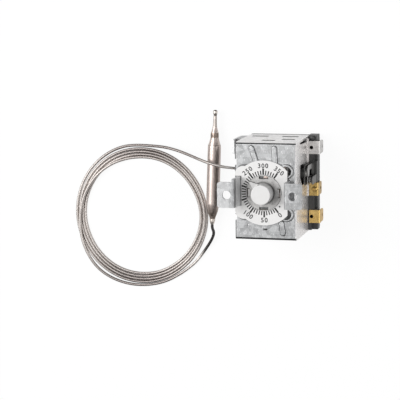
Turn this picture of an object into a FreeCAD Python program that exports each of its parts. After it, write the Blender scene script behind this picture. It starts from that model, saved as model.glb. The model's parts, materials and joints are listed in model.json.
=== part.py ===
import FreeCAD, Part
import math
import os
import Sketcher

# A built-in capillary thermostat, lying on its back.
# The origin is where the spindle's axis meets the back face, +Z points out of the dial,
# +X towards the terminals and +Y towards the top of the scale. All lengths are in millimetres.

doc = FreeCAD.newDocument("thermostat")
sheet = doc.addObject("Spreadsheet::Sheet", "sizes")

SIZES = {
    # Case: two folded sheets
    "case_depth": 38.5,
    "sheet_metal": 1.0,
    "frame_left": 14.8,
    "frame_right": 16.0,
    "frame_top": 24.8,
    "frame_bottom": 23.8,
    "bend_radius": 1.1,
    "base_left": 21.0,
    "base_right": 20.5,
    "base_flange_height": 13.6,
    "base_flange_end": 11.0,
    "base_tab_height": 18.6,
    "base_tab_width": 7.5,
    "sheet_gap": 0.15,
    # Openings and embossings of the case
    "wall_top_front": 22.9,
    "wall_top_rear": 22.2,
    "wall_relief": 9.0,
    "wall_relief_foot": 11.6,
    "wall_lip": 0.6,
    "wall_lip_height": 0.9,
    "wall_lip_foot": 5.6,
    "notch_depth": 0.8,
    "notch_length": 3.0,
    "notch_top_y": 13.4,
    "notch_bottom_y": -14.2,
    "seat_left": 13.9,
    "seat_right": 6.0,
    "seat_top": 14.1,
    "seat_foot": 9.0,
    "seat_height": 0.35,
    "seat_corner": 3.6,
    "lug_slot_left": 11.9,
    "lug_slot_right": 3.6,
    "lug_slot_length": 7.8,
    "lug_slot_width": 1.4,
    "lug_level": 11.2,
    "lug_reach": 0.8,
    "air_slot_length": 6.0,
    "air_slot_level": 28.4,
    "air_slot_step": 5.2,
    "collar_x": 11.1,
    "collar_y": 10.7,
    "collar_hole_radius": 2.6,
    "collar_wall": 1.1,
    "collar_height": 0.85,
    "collar_rounding": 0.6,
    "rib_radius": 1.45,
    "rib_height": 0.75,
    "rib_rounding": 0.7,
    "rib_outer_inset": 2.8,
    "rib_inner_inset": 9.6,
    "left_rib_outer_x": 6.4,
    "left_rib_inner_x": 4.1,
    "right_rib_outer_x": 5.1,
    "right_rib_inner_x": 5.4,
    "low_rib_outer_x": 9.3,
    "low_rib_inner_x": 8.6,
    "low_rib_outer_inset": 3.7,
    "low_rib_inner_inset": 8.6,
    "pin_hole_x": 8.3,
    "pin_hole_y": 16.3,
    "pin_hole_radius": 0.5,
    "mark_slot_left": 0.4,
    "mark_slot_right": 1.1,
    "mark_slot_y": 18.5,
    "mark_slot_radius": 0.45,
    "window_left": 1.6,
    "window_right": 12.6,
    "window_low": 16.6,
    "window_high": 28.8,
    # Mounting strap and dial
    "strap_metal": 1.0,
    "screw_pitch": 33.0,
    "screw_hole_radius": 2.15,
    "ear_lift": 10.5,
    "ear_end": 21.2,
    "ear_half_width": 6.4,
    "ear_corner": 1.4,
    "riser_out": 13.2,
    "riser_lean": 0.6,
    "riser_extra": 1.6,
    "strap_trim_x": 4.0,
    "strap_eye_radius": 9.6,
    "scale_round_share": 1.22727,
    "scale_metal": 0.5,
    "scale_right": 11.9,
    "scale_left_share": 1.10606,
    "scale_half_height": 13.2,
    "scale_corner": 4.2,
    "scale_eye_radius": 9.1,
    "notch_gap": 0.3,
    "dot_x": 8.0,
    "dot_y": 6.6,
    "dot_radius": 0.45,
    "stop_disc_radius": 8.85,
    "stop_disc_metal": 0.6,
    "stop_slot_ring": 7.7,
    "stop_slot_length": 4.6,
    "stop_slot_width": 1.4,
    "stop_lug_height": 0.21,
    "stop_lug_thickness": 1.3,
    "stop_lug_out": 0.2,
    "stop_lug_half": 2.0,
    # Spindle, bush and knob
    "spindle_radius": 3.0,
    "spindle_run": 0.05,
    "bush_radius": 3.9,
    "bush_flange_radius": 5.6,
    "bush_flange_height": 3.0,
    "collar_radius": 4.4,
    "collar_thickness": 1.5,
    "thread_radius": 2.4,
    "spindle_clear": 2.45,
    "knob_radius": 5.05,
    "knob_height": 7.0,
    "knob_lift": 0.35,
    "knob_rounding": 0.45,
    "knob_roof": 2.4,
    "knob_draft": 0.15,
    "pointer_reach": 8.7,
    "pointer_angle": 141.0,
    "pointer_thickness": 1.3,
    "pointer_half": 2.6,
    "pointer_tip_half": 0.25,
    "pointer_root_gap": 0.15,
    # Setting nut, its guide pin and the range spring
    "nut_flats": 9.6,
    "nut_height": 3.5,
    "nut_share": 0.58442,
    "guide_pin_x": 10.2,
    "guide_pin_radius": 1.0,
    "guide_pin_run": 0.06,
    "guide_pin_below": 2.5,
    "guide_ear_wall": 1.0,
    "spring_radius": 3.6,
    "spring_wire": 0.45,
    "spring_turns": 4.5,
    "seat_gap": 0.05,
    "edge_break": 0.4,
    "fine_break": 0.15,
    # Diaphragm capsule and its stem
    "capsule_radius": 8.5,
    "capsule_low": 3.0,
    "capsule_thick": 2.9,
    "capsule_boss": 3.0,
    "weld_step": 0.5,
    "weld_low": 0.9,
    "weld_high": 1.9,
    "nipple_y": 5.6,
    "nipple_radius": 1.35,
    "nipple_end": 10.5,
    "nipple_depth": 2.1,
    "sleeve_length": 4.0,
    "sleeve_radius": 1.2,
    "sleeve_straight": 0.6,
    "stem_radius": 1.5,
    "stem_tip_radius": 0.9,
    "stem_foot_radius": 2.3,
    "stem_foot_height": 0.6,
    "stem_top": 12.1,
    # Bell crank and its pivot
    "pivot_x": 7.5,
    "pivot_z": 12.5,
    "pin_radius": 1.0,
    "pin_run": 0.05,
    "pin_seat_run": 0.01,
    "hub_radius": 2.4,
    "hub_low": 3.2,
    "hub_high": 12.2,
    "crank_metal": 1.0,
    "crank_arm_low": 13.0,
    "spring_cup_radius": 4.6,
    "crank_arm_half": 3.0,
    "upper_arm_half": 2.6,
    "upper_arm_top": 23.4,
    "upper_arm_flare": 1.0,
    "upper_arm_corner": 1.0,
    "bracket_half": 2.0,
    "bracket_low": 7.0,
    "bracket_high": 12.6,
    "bracket_shoulder": 2.2,
    "adjuster_radius": 1.45,
    "adjuster_length": 3.4,
    "adjuster_slot_half": 0.25,
    "adjuster_slot_depth": 0.9,
    # Contact block and its terminals
    "block_inner": 9.9,
    "block_step": 16.2,
    "block_low": 23.4,
    "block_high": 25.4,
    "block_top": 8.6,
    "block_relief": 1.4,
    "block_step_depth": 2.6,
    "terminal_metal": 0.8,
    "terminal_inner": 16.7,
    "terminal_reach": 1.8,
    "terminal_width": 6.6,
    "tab_width": 6.3,
    "tab_tip": 0.6,
    "tab_chamfer": 0.9,
    "terminal_hole_inset": 4.4,
    "terminal_hole_radius": 0.95,
    "tab_hole_radius": 0.85,
    "tab_hole_level": 3.4,
    "terminal_top_y": 19.2,
    "terminal_middle_y": -2.1,
    "terminal_bottom_y": -16.2,
    "rivet_inset": 2.9,
    "rivet_head_radius": 1.35,
    "rivet_head_height": 0.6,
    "rivet_radius": 0.8,
    "shank_length": 3.6,
    "block_hole_depth": 4.0,
    "terminal_seat_margin": 0.5,
    "tab_shoulder": 1.2,
    "screw_head_radius": 1.3,
    "screw_head_height": 1.2,
    "block_screw_x": 18.4,
    "block_screw_inset": 1.5,
    # Plunger and switch blades
    "plunger_y": 7.5,
    "plunger_z": 21.0,
    "plunger_radius": 1.5,
    "plunger_run": 0.06,
    "plunger_crown": 0.95,
    "plunger_head_radius": 2.0,
    "plunger_head_length": 1.3,
    "guide_metal": 1.2,
    "guide_margin": 1.4,
    "guide_boss_radius": 2.6,
    "guide_boss_out": 1.6,
    "guide_boss_in": 2.04,
    "blade_x": 18.45,
    "blade_metal": 0.25,
    "blade_foot_gap": 0.1,
    "blade_low": 1.6,
    "blade_high": 11.6,
    "blade_top": 22.6,
    "blade_corner": 1.0,
    "blade_waist": 1.2,
    "blade_waist_height": 2.0,
    "blade_window_half": 1.6,
    "blade_window_inset": 2.3,
    "clamp_height": 0.7,
    "clamp_thick": 1.1,
    "carrier_metal": 0.5,
    "carrier_extra": 1.0,
    "carrier_hole_margin": 0.6,
    "inner_carrier_x": 16.9,
    "outer_carrier_x": 19.9,
    "outer_carrier_high": 5.6,
    "outer_carrier_top": 19.6,
    "contact_y": 3.6,
    "contact_z": 17.0,
    "contact_radius": 1.25,
    "contact_shank_radius": 0.6,
    "moving_contact_half": 0.4,
    "outer_contact_height": 0.3,
    # Sensor bulb and capillary
    "bulb_radius": 3.5,
    "bulb_body_length": 31.3,
    "bulb_tail_cone": 6.4,
    "bulb_tail_length": 3.9,
    "bulb_tail_radius": 1.25,
    "bulb_shoulder_length": 3.4,
    "bulb_band_radius": 2.1,
    "bulb_band_length": 3.1,
    "bulb_neck_length": 3.1,
    "bulb_stem_radius": 1.02,
    "bulb_root_radius": 1.36,
    "bulb_pinch_radius": 0.76,
    "bulb_stem_length": 5.7,
    "bulb_tip_radius": 1.2,
    "bulb_end_x": -36.1,
    "bulb_end_y": -23.1,
    "bulb_tilt": 2.8,
    "capillary_radius": 0.75,
    "coil_x": -75.5,
    "coil_y": -19.6,
    "coil_half_width": 36.6,
    "coil_half_length": 38.4,
    "coil_inner_x": -74.9,
    "coil_inner_y": -20.0,
    "coil_inner_half_width": 32.0,
    "coil_inner_half_length": 30.6,
    "coil_height": 3.7,
    "coil_rounding": 1.2,
}

# How much of the shorter run next to a bend its arc takes up
ARC_SHARE = 0.45

# Points on each turn of the spring
SPRING_POINTS = 10

# How far a cut runs past the faces it goes through
CLEAR = 1.0

# Corners of the window in the right wall, as shares of its width and height
WINDOW = [(1.0, 0.95), (0.98, 0.28), (0.8, 0.08), (0.27, 0.0), (0.07, 0.2), (0.0, 0.5), (0.42, 1.0)]

# Ripples of the diaphragm: how far each bend lies inside the capsule's rim and below its top
RIPPLES = [(1.0, 0), (2.0, 0), (2.4, 0.35), (3.1, 0.35), (3.5, 0), (4.4, 0), (4.8, 0.35), (5.4, 0.35),
           (5.8, 0)]

# Profiles of the heads, as shares of their radius and height
SCREW_HEAD = [(1.0, 0.45), (0.75, 0.85), (0.35, 1.0), (0, 1.0)]
RIVET_HEAD = [(1.0, 0.5), (0.7, 1.0), (0.45, 1.0), (0.35, 0.5), (0, 0.5)]

# Outside radius of a fold, as a share of the sheet's thickness
FOLD = 0.9

# The lead from the capsule's sleeve over the bulb to the coil, after its first point at the sleeve.
LEAD_ROUTE = [
    (-19.2, 6.0, 5.2), (-23.8, 7.2, 8.4), (-29.2, 8.7, 11.0), (-36.6, 10.4, 11.0),
    (-50.4, 14.3, 4.0), (-57.6, 16.2, 2.4), (-64.6, 17.0, 2.2), (-70.6, 16.0, 2.2),
]

# The tail from the coil to the bulb, before its last point at the bulb's lower end.
TAIL_ROUTE = [
    (-53.4, -48.6, 0.85), (-48.9, -46.6, 0.85), (-45.0, -43.0, 0.85), (-41.6, -38.6, 0.9),
    (-38.9, -33.6, 1.5), (-37.0, -28.4, 2.9),
]


class Size:
    """A size in millimetres, together with the sheet formula that gives it."""

    def __init__(self, value, formula):
        self.value = value
        self.formula = formula

    def __add__(self, other):
        other = as_size(other)
        return Size(self.value + other.value, f"({self.formula} + {other.formula})")

    def __sub__(self, other):
        other = as_size(other)
        return Size(self.value - other.value, f"({self.formula} - {other.formula})")

    def __mul__(self, other):
        other = as_size(other)
        return Size(self.value * other.value, f"({self.formula} * {other.formula})")

    def __truediv__(self, other):
        other = as_size(other)
        return Size(self.value / other.value, f"({self.formula} / {other.formula})")

    def __neg__(self):
        return Size(-self.value, f"(0 - {self.formula})")

    __radd__ = __add__
    __rmul__ = __mul__

    def __rsub__(self, other):
        return as_size(other) - self


def as_size(number):
    """A plain number as a size; a size comes back as it is."""
    if isinstance(number, Size):
        return number
    return Size(float(number), f"({number:.6f})")


class Sheet:
    """Gives each named cell of the spreadsheet as a size."""

    def __getattr__(self, alias):
        return Size(float(sheet.get(alias)), f"sizes.{alias}")


for row, (alias, number) in enumerate(SIZES.items(), start=1):
    sheet.set(f"A{row}", alias)
    sheet.set(f"B{row}", str(number))
    sheet.setAlias(f"B{row}", alias)
doc.recompute()
size = Sheet()

# Levels and positions that several pieces share
plate_face = size.case_depth
plate_back = plate_face - size.sheet_metal
strap_face = plate_face + size.strap_metal
ear_face = strap_face + size.ear_lift
disc_face = strap_face + size.stop_disc_metal
wall_inner = size.frame_right - size.sheet_metal
flange_top_inner = size.frame_top - size.sheet_metal
flange_bottom_inner = size.frame_bottom - size.sheet_metal
tray_top = flange_top_inner - size.sheet_gap
tray_bottom = flange_bottom_inner - size.sheet_gap
capsule_top = size.capsule_low + size.capsule_thick
crank_arm_top = size.crank_arm_low + size.crank_metal
crank_push_face = size.pivot_x + size.hub_radius
blade_foot = size.block_top + size.clamp_height + size.blade_foot_gap
collar_top = plate_back - size.bush_flange_height - size.seat_gap * 2
collar_low = collar_top - size.collar_thickness
nut_level = crank_arm_top + (collar_low - crank_arm_top - size.nut_height) * size.nut_share
guide_pin_foot = nut_level - size.guide_pin_below
spindle_foot = size.stem_top + size.seat_gap + size.adjuster_length + size.spindle_clear
scale_radius = size.scale_half_height * size.scale_round_share
scale_left = size.scale_half_height * size.scale_left_share
terminal_outer = size.base_right + size.terminal_reach
terminal_hole_x = terminal_outer - size.terminal_hole_inset
rivet_x = terminal_outer - size.rivet_inset


def bind(item, path, length):
    """Ties one property of a document object to the sheet."""
    item.setExpression(path, as_size(length).formula)


def new_body(label):
    """A body whose label is the name of the piece."""
    body = doc.addObject("PartDesign::Body", label)
    body.Label = label
    return body


def new_sketch(body, name, plane="XY_Plane", offset=0):
    """A sketch on one of the body's own planes, moved along the plane's normal."""
    sketch = body.newObject("Sketcher::SketchObject", name)
    support = next(item for item in body.Origin.OriginFeatures if item.Role == plane)
    sketch.AttachmentSupport = [(support, "")]
    sketch.MapMode = "FlatFace"
    shift = FreeCAD.Vector(0, 0, as_size(offset).value)
    sketch.AttachmentOffset = FreeCAD.Placement(shift, FreeCAD.Rotation())
    bind(sketch, "AttachmentOffset.Base.z", offset)
    return sketch


def pin_point(sketch, geometry, vertex, across, along):
    """Holds one point of a sketch at a bound place."""
    for kind, length in (("DistanceX", as_size(across)), ("DistanceY", as_size(along))):
        index = sketch.addConstraint(Sketcher.Constraint(kind, -1, 1, geometry, vertex, length.value))
        bind(sketch, f"Constraints[{index}]", length)


def outline(sketch, corners):
    """A closed outline of straight edges through bound corners."""
    points = [FreeCAD.Vector(as_size(x).value, as_size(y).value, 0) for x, y in corners]
    count = len(points)
    edges = [Part.LineSegment(points[i], points[(i + 1) % count]) for i in range(count)]
    lines = [sketch.addGeometry(edge, False) for edge in edges]
    for i in range(count):
        sketch.addConstraint(Sketcher.Constraint("Coincident", lines[i], 2, lines[(i + 1) % count], 1))
        pin_point(sketch, lines[i], 1, *corners[i])


def box_outline(sketch, left, low, right, high):
    """A rectangle between two bound corners."""
    outline(sketch, [(left, low), (right, low), (right, high), (left, high)])


def circle(sketch, across, along, radius):
    """A circle with a bound centre and radius."""
    centre = FreeCAD.Vector(as_size(across).value, as_size(along).value, 0)
    ring = sketch.addGeometry(Part.Circle(centre, FreeCAD.Vector(0, 0, 1), as_size(radius).value), False)
    pin_point(sketch, ring, 3, across, along)
    index = sketch.addConstraint(Sketcher.Constraint("Radius", ring, as_size(radius).value))
    bind(sketch, f"Constraints[{index}]", radius)


def long_slot(sketch, start, end, radius):
    """A slot with round ends about two bound centres."""
    first = FreeCAD.Vector(as_size(start[0]).value, as_size(start[1]).value, 0)
    last = FreeCAD.Vector(as_size(end[0]).value, as_size(end[1]).value, 0)
    way = (last - first).normalize()
    side = FreeCAD.Vector(-way.y, way.x, 0) * as_size(radius).value
    heading = math.atan2(way.y, way.x)
    up = FreeCAD.Vector(0, 0, 1)
    half = math.pi / 2
    reach = as_size(radius).value
    cap_end = Part.ArcOfCircle(Part.Circle(last, up, reach), heading - half, heading + half)
    cap_start = Part.ArcOfCircle(Part.Circle(first, up, reach), heading + half, heading + 3 * half)
    round_end = sketch.addGeometry(cap_end, False)
    back = sketch.addGeometry(Part.LineSegment(last + side, first + side), False)
    round_start = sketch.addGeometry(cap_start, False)
    forth = sketch.addGeometry(Part.LineSegment(first - side, last - side), False)
    loop = [round_end, back, round_start, forth]
    for piece, following in zip(loop, loop[1:] + loop[:1]):
        sketch.addConstraint(Sketcher.Constraint("Tangent", piece, 2, following, 1))
    pin_point(sketch, round_end, 3, *end)
    pin_point(sketch, round_start, 3, *start)
    index = sketch.addConstraint(Sketcher.Constraint("Radius", round_end, as_size(radius).value))
    bind(sketch, f"Constraints[{index}]", radius)


def pad(body, sketch, length, down=False):
    """Adds a sketch's outline as a plate of bound thickness."""
    feature = body.newObject("PartDesign::Pad", sketch.Name + "_pad")
    feature.Profile = sketch
    feature.Length = as_size(length).value
    bind(feature, "Length", length)
    feature.Reversed = down
    return feature


def pocket(body, sketch, length, up=False):
    """Cuts a sketch's outline to a bound depth, against the sketch's normal unless up is set."""
    doc.recompute()
    before = body.Shape.Volume
    feature = body.newObject("PartDesign::Pocket", sketch.Name + "_cut")
    feature.Profile = sketch
    feature.Length = as_size(length).value
    bind(feature, "Length", length)
    feature.Reversed = up
    doc.recompute()
    if body.Shape.Volume > before - 1e-6:
        raise ValueError(f"{sketch.Name} cuts nothing")
    return feature


def edges_through(shape, points):
    """Names of the edges that pass through the given points."""
    names = []
    for point in points:
        spot = Part.Vertex(*[as_size(part).value for part in point])
        gaps = [edge.distToShape(spot)[0] for edge in shape.Edges]
        names.append(f"Edge{gaps.index(min(gaps)) + 1}")
    return sorted(set(names))


def dress(body, kind, radius, points):
    """Rounds or chamfers the edges of the body that pass through the points."""
    doc.recompute()
    base = body.Tip
    names = edges_through(base.Shape, points)
    feature = body.newObject(f"PartDesign::{kind}", f"{body.Name}_{kind.lower()}")
    feature.Base = (base, names)
    path = "Radius" if kind == "Fillet" else "Size"
    setattr(feature, path, as_size(radius).value)
    bind(feature, path, radius)
    body.Tip = feature
    doc.recompute()
    return feature


def turned(body, name, profile):
    """A turned piece: a closed profile of radius and height, revolved about the body's Z axis."""
    sketch = new_sketch(body, name, "XZ_Plane")
    outline(sketch, profile)
    feature = body.newObject("PartDesign::Revolution", name + "_turned")
    feature.Profile = sketch
    feature.ReferenceAxis = (sketch, ["V_Axis"])
    feature.Angle = 360
    return feature


def around(body, feature, count):
    """Repeats a feature evenly about the body's Z axis."""
    doc.recompute()
    pattern = body.newObject("PartDesign::PolarPattern", feature.Name + "_ring")
    pattern.Originals = [feature]
    pattern.Axis = (next(item for item in body.Origin.OriginFeatures if item.Role == "Z_Axis"), [""])
    pattern.Angle = 360
    pattern.Occurrences = count
    body.Tip = pattern
    doc.recompute()
    return pattern


def ordered(first, second):
    """Two sizes with the smaller one first."""
    return sorted([first, second], key=lambda part: part.value)


def place(body, x, y, z, rotation=None):
    """Puts a body at a bound place, turned as given."""
    spot = [as_size(part) for part in (x, y, z)]
    turn = rotation or FreeCAD.Rotation()
    body.Placement = FreeCAD.Placement(FreeCAD.Vector(*[part.value for part in spot]), turn)
    for axis, part in zip("xyz", spot):
        bind(body, f"Placement.Base.{axis}", part)


def cut_stop_slots(body, low, thickness):
    """The four slots for the range stops, through a plate that starts at the given level."""
    sketch = new_sketch(body, body.Name + "_stop_slot", "XY_Plane", low - CLEAR)
    half = size.stop_slot_length / 2
    inner = size.stop_slot_ring - size.stop_slot_width / 2
    outer = size.stop_slot_ring + size.stop_slot_width / 2
    box_outline(sketch, -half, inner, half, outer)
    around(body, pocket(body, sketch, thickness + 2 * CLEAR, up=True), 4)


def tube_along(label, points, radius):
    """A round tube or wire along straight runs that are joined by the largest tangent arcs the runs allow."""
    route = [FreeCAD.Vector(*point) for point in points]
    edges = []
    bends = []
    start = route[0]
    for before, corner, after in zip(route, route[1:], route[2:]):
        arrive = (corner - before).normalize()
        leave = (after - corner).normalize()
        turn = arrive.getAngle(leave)
        shorter = min((corner - before).Length, (after - corner).Length)
        setback = ARC_SHARE * shorter
        bend = setback / math.tan(turn / 2)
        bends.append(bend)
        first = corner - arrive * setback
        last = corner + leave * setback
        inward = (leave - arrive).normalize()
        middle = corner + inward * (bend / math.cos(turn / 2) - bend)
        edges.append(Part.LineSegment(start, first).toShape())
        edges.append(Part.Arc(first, middle, last).toShape())
        start = last
    edges.append(Part.LineSegment(start, route[-1]).toShape())
    path = Part.Wire(edges)
    section = Part.Wire([Part.makeCircle(radius, route[0], route[1] - route[0])])
    tube = path.makePipeShell([section], True, False)
    expected = math.pi * radius ** 2 * path.Length
    print(f"{label}: tightest bend {min(bends):.1f}, length {path.Length:.1f}, "
          f"volume {tube.Volume:.2f} of {expected:.2f}")
    feature = doc.addObject("Part::Feature", label)
    feature.Label = label
    feature.Shape = tube
    feature.Placement = FreeCAD.Placement()


ALONG_X = FreeCAD.Rotation(FreeCAD.Vector(0, 1, 0), 90)
ALONG_Y = FreeCAD.Rotation(FreeCAD.Vector(1, 0, 0), -90)
AGAINST_X = FreeCAD.Rotation(FreeCAD.Vector(0, 1, 0), -90)


def front_frame():
    """Front plate with ribs and raised seats, top and bottom flanges and right wall, all of one sheet."""
    body = new_body("front_frame")
    shell = new_sketch(body, "frame_block")
    box_outline(shell, -size.frame_left, -size.frame_bottom, size.frame_right, size.frame_top)
    pad(body, shell, plate_face)
    doc.recompute()
    middle_x = (size.frame_right - size.frame_left) / 2
    corners = [(middle_x, size.frame_top, plate_face), (middle_x, -size.frame_bottom, plate_face),
               (size.frame_right, 0, plate_face)]
    dress(body, "Fillet", size.bend_radius, corners)
    hollow = new_sketch(body, "frame_hollow")
    box_outline(hollow, -size.frame_left - CLEAR, -flange_bottom_inner, wall_inner, flange_top_inner)
    pocket(body, hollow, plate_back, up=True)
    foot = new_sketch(body, "wall_foot", "YZ_Plane", size.frame_right + CLEAR)
    box_outline(foot, -flange_bottom_inner, -CLEAR, flange_top_inner, size.block_top)
    pocket(body, foot, size.sheet_metal + 2 * CLEAR)
    relief = new_sketch(body, "wall_relief", "YZ_Plane", size.frame_right + CLEAR)
    front = plate_back - size.wall_relief
    outline(relief, [(size.wall_top_front, front), (size.wall_top_rear, size.wall_relief_foot),
                     (flange_top_inner, size.wall_relief_foot), (flange_top_inner, front)])
    pocket(body, relief, size.sheet_metal + 2 * CLEAR)
    window = new_sketch(body, "wall_window", "YZ_Plane", size.frame_right + CLEAR)
    wide = size.window_right - size.window_left
    tall = size.window_high - size.window_low
    corners = [(size.window_left + wide * across, size.window_low + tall * up) for across, up in WINDOW]
    outline(window, corners)
    pocket(body, window, size.sheet_metal + 2 * CLEAR)
    slots = new_sketch(body, "flange_slots", "XZ_Plane", -size.frame_top - CLEAR)
    low = size.lug_level - size.lug_slot_width / 2
    high = size.lug_level + size.lug_slot_width / 2
    box_outline(slots, -size.lug_slot_left, low, size.lug_slot_length - size.lug_slot_left, high)
    box_outline(slots, size.lug_slot_right, low, size.lug_slot_right + size.lug_slot_length, high)
    air_low = size.air_slot_level - size.lug_slot_width / 2
    air_high = size.air_slot_level + size.lug_slot_width / 2
    box_outline(slots, -size.air_slot_length / 2, air_low, size.air_slot_length / 2, air_high)
    step = size.air_slot_step
    box_outline(slots, size.air_slot_length, air_low - step, size.air_slot_length * 2, air_high - step)
    pocket(body, slots, size.sheet_metal + 2 * CLEAR, up=True)
    lip = new_sketch(body, "wall_lip", "XY_Plane", size.block_top + size.seat_gap)
    box_outline(lip, wall_inner, -size.wall_lip_foot, size.frame_right + size.wall_lip, flange_top_inner)
    pad(body, lip, size.wall_lip_height)
    ribs = new_sketch(body, "ribs", "XY_Plane", plate_face)
    rib_low = size.frame_top - size.rib_inner_inset
    rib_high = size.frame_top - size.rib_outer_inset
    low_rib_end = size.low_rib_outer_inset - size.frame_bottom
    low_rib_start = size.low_rib_inner_inset - size.frame_bottom
    left_rib = [(-size.left_rib_outer_x, rib_high), (-size.left_rib_inner_x, rib_low)]
    right_rib = [(size.right_rib_outer_x, rib_high), (size.right_rib_inner_x, rib_low)]
    low_rib = [(size.low_rib_outer_x, low_rib_end), (size.low_rib_inner_x, low_rib_start)]
    for ends in (left_rib, right_rib, low_rib):
        long_slot(ribs, *ends, size.rib_radius)
    pad(body, ribs, size.rib_height)
    rib_top = plate_face + size.rib_height
    tops = [(-size.left_rib_outer_x, rib_high + size.rib_radius, rib_top),
            (size.right_rib_outer_x, rib_high + size.rib_radius, rib_top),
            (size.low_rib_outer_x, low_rib_end - size.rib_radius, rib_top)]
    dress(body, "Fillet", size.rib_rounding, tops)
    seats = new_sketch(body, "scale_seats", "XY_Plane", plate_face)
    for sign in (1, -1):
        levels = ordered(size.seat_foot * sign, size.seat_top * sign)
        box_outline(seats, -size.seat_left, levels[0], -size.seat_right, levels[1])
    pad(body, seats, size.seat_height)
    seat_middle = plate_face + size.seat_height / 2
    seat_corners = [(-size.seat_left, size.seat_top * sign, seat_middle) for sign in (1, -1)]
    dress(body, "Fillet", size.seat_corner, seat_corners)
    collars = new_sketch(body, "hole_collars", "XY_Plane", plate_face)
    for sign in (1, -1):
        circle(collars, size.collar_x, size.collar_y * sign, size.collar_hole_radius + size.collar_wall)
    pad(body, collars, size.collar_height)
    rims = [(size.collar_x - size.collar_hole_radius - size.collar_wall, size.collar_y * sign,
             plate_face + size.collar_height) for sign in (1, -1)]
    dress(body, "Fillet", size.collar_rounding, rims)
    holes = new_sketch(body, "plate_holes", "XY_Plane", plate_back - CLEAR)
    circle(holes, 0, 0, size.bush_radius + size.seat_gap)
    for sign in (1, -1):
        circle(holes, size.collar_x, size.collar_y * sign, size.collar_hole_radius)
    circle(holes, -size.pin_hole_x, -size.pin_hole_y, size.pin_hole_radius)
    mark_slot_ends = [(-size.mark_slot_left, -size.mark_slot_y), (size.mark_slot_right, -size.mark_slot_y)]
    long_slot(holes, *mark_slot_ends, size.mark_slot_radius)
    pocket(body, holes, size.sheet_metal + size.collar_height + 2 * CLEAR, up=True)
    notches = new_sketch(body, "edge_notches", "XY_Plane", plate_back - CLEAR)
    notch_end = size.notch_depth - size.frame_left
    for low in (size.notch_top_y, size.notch_bottom_y):
        box_outline(notches, -size.frame_left - CLEAR, low, notch_end, low + size.notch_length)
    pocket(body, notches, size.sheet_metal + 2 * CLEAR, up=True)
    cut_stop_slots(body, plate_back, size.sheet_metal)


def rear_plate():
    """Back plate with its two flanges, their lugs and the raised tab at the top left."""
    body = new_body("rear_plate")
    floor = new_sketch(body, "rear_floor")
    box_outline(floor, -size.base_left, -tray_bottom, size.base_right, tray_top)
    pad(body, floor, size.sheet_metal)
    flanges = new_sketch(body, "rear_flanges")
    box_outline(flanges, -size.base_left, tray_top - size.sheet_metal, size.base_flange_end, tray_top)
    box_outline(flanges, -size.frame_left, -tray_bottom, size.base_flange_end,
                size.sheet_metal - tray_bottom)
    pad(body, flanges, size.base_flange_height)
    tab = new_sketch(body, "rear_tab")
    tab_low = tray_top - size.base_tab_width
    box_outline(tab, -size.base_left, tab_low, size.sheet_metal - size.base_left, tray_top)
    pad(body, tab, size.base_tab_height)
    lugs = new_sketch(body, "rear_lugs", "XZ_Plane", size.sheet_metal / 2 - tray_top)
    low = size.lug_level - size.lug_slot_width / 2 + size.sheet_gap
    high = size.lug_level + size.lug_slot_width / 2 - size.sheet_gap
    box_outline(lugs, size.sheet_gap - size.lug_slot_left, low,
                size.lug_slot_length - size.lug_slot_left - size.sheet_gap, high)
    box_outline(lugs, size.lug_slot_right + size.sheet_gap, low,
                size.lug_slot_right + size.lug_slot_length - size.sheet_gap - size.lug_slot_width, high)
    pad(body, lugs, size.sheet_metal / 2 + size.sheet_gap + size.lug_reach, down=True)
    doc.recompute()
    bends = [(0, tray_top, 0), (0, -tray_bottom, 0), (-size.base_left, 0, 0)]
    dress(body, "Fillet", size.sheet_metal * FOLD, bends)


def mounting_strap():
    """The hat-shaped strap: a base on the front plate, two risers, the left one leaning, and two ears."""
    body = new_body("mounting_strap")
    section = new_sketch(body, "strap_section", "XZ_Plane", -size.ear_half_width - size.riser_extra)
    riser_in = size.riser_out - size.strap_metal
    ear_back = ear_face - size.strap_metal
    lean = size.riser_lean
    outline(section, [(-size.ear_end, ear_face), (-riser_in - lean, ear_face), (lean - riser_in, strap_face),
                      (riser_in, strap_face), (riser_in, ear_face), (size.ear_end, ear_face),
                      (size.ear_end, ear_back), (size.riser_out, ear_back), (size.riser_out, plate_face),
                      (lean - size.riser_out, plate_face), (-size.riser_out - lean, ear_back),
                      (-size.ear_end, ear_back)])
    pad(body, section, size.ear_half_width * 2 + size.riser_extra)
    doc.recompute()
    bends = [(riser_in, 0, ear_face), (size.riser_out, 0, plate_face), (-riser_in - lean, 0, ear_face),
             (lean - size.riser_out, 0, plate_face)]
    dress(body, "Fillet", size.strap_metal * FOLD, bends)
    trim = new_sketch(body, "ear_trim", "XY_Plane", plate_face - CLEAR)
    beyond = size.ear_half_width + size.riser_extra + CLEAR
    box_outline(trim, -size.ear_end - CLEAR, size.ear_half_width, -size.riser_out - lean, beyond)
    box_outline(trim, size.strap_trim_x, size.ear_half_width, size.ear_end + CLEAR, beyond)
    pocket(body, trim, size.strap_metal + size.ear_lift + 2 * CLEAR, up=True)
    corners = []
    for sign in (1, -1):
        corners += [(size.ear_end * sign, size.ear_half_width, ear_face - size.strap_metal / 2),
                    (size.ear_end * sign, -size.ear_half_width, ear_face - size.strap_metal / 2)]
    dress(body, "Fillet", size.ear_corner, corners)
    eye = new_sketch(body, "strap_eye", "XY_Plane", plate_face)
    circle(eye, 0, 0, size.strap_eye_radius)
    pad(body, eye, size.strap_metal)
    holes = new_sketch(body, "strap_holes", "XY_Plane", plate_face - CLEAR)
    circle(holes, 0, 0, size.bush_radius + size.seat_gap)
    for sign in (1, -1):
        circle(holes, size.screw_pitch / 2 * sign, 0, size.screw_hole_radius)
    pocket(body, holes, size.strap_metal + size.ear_lift + 2 * CLEAR, up=True)
    cut_stop_slots(body, plate_face, size.strap_metal)


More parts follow.
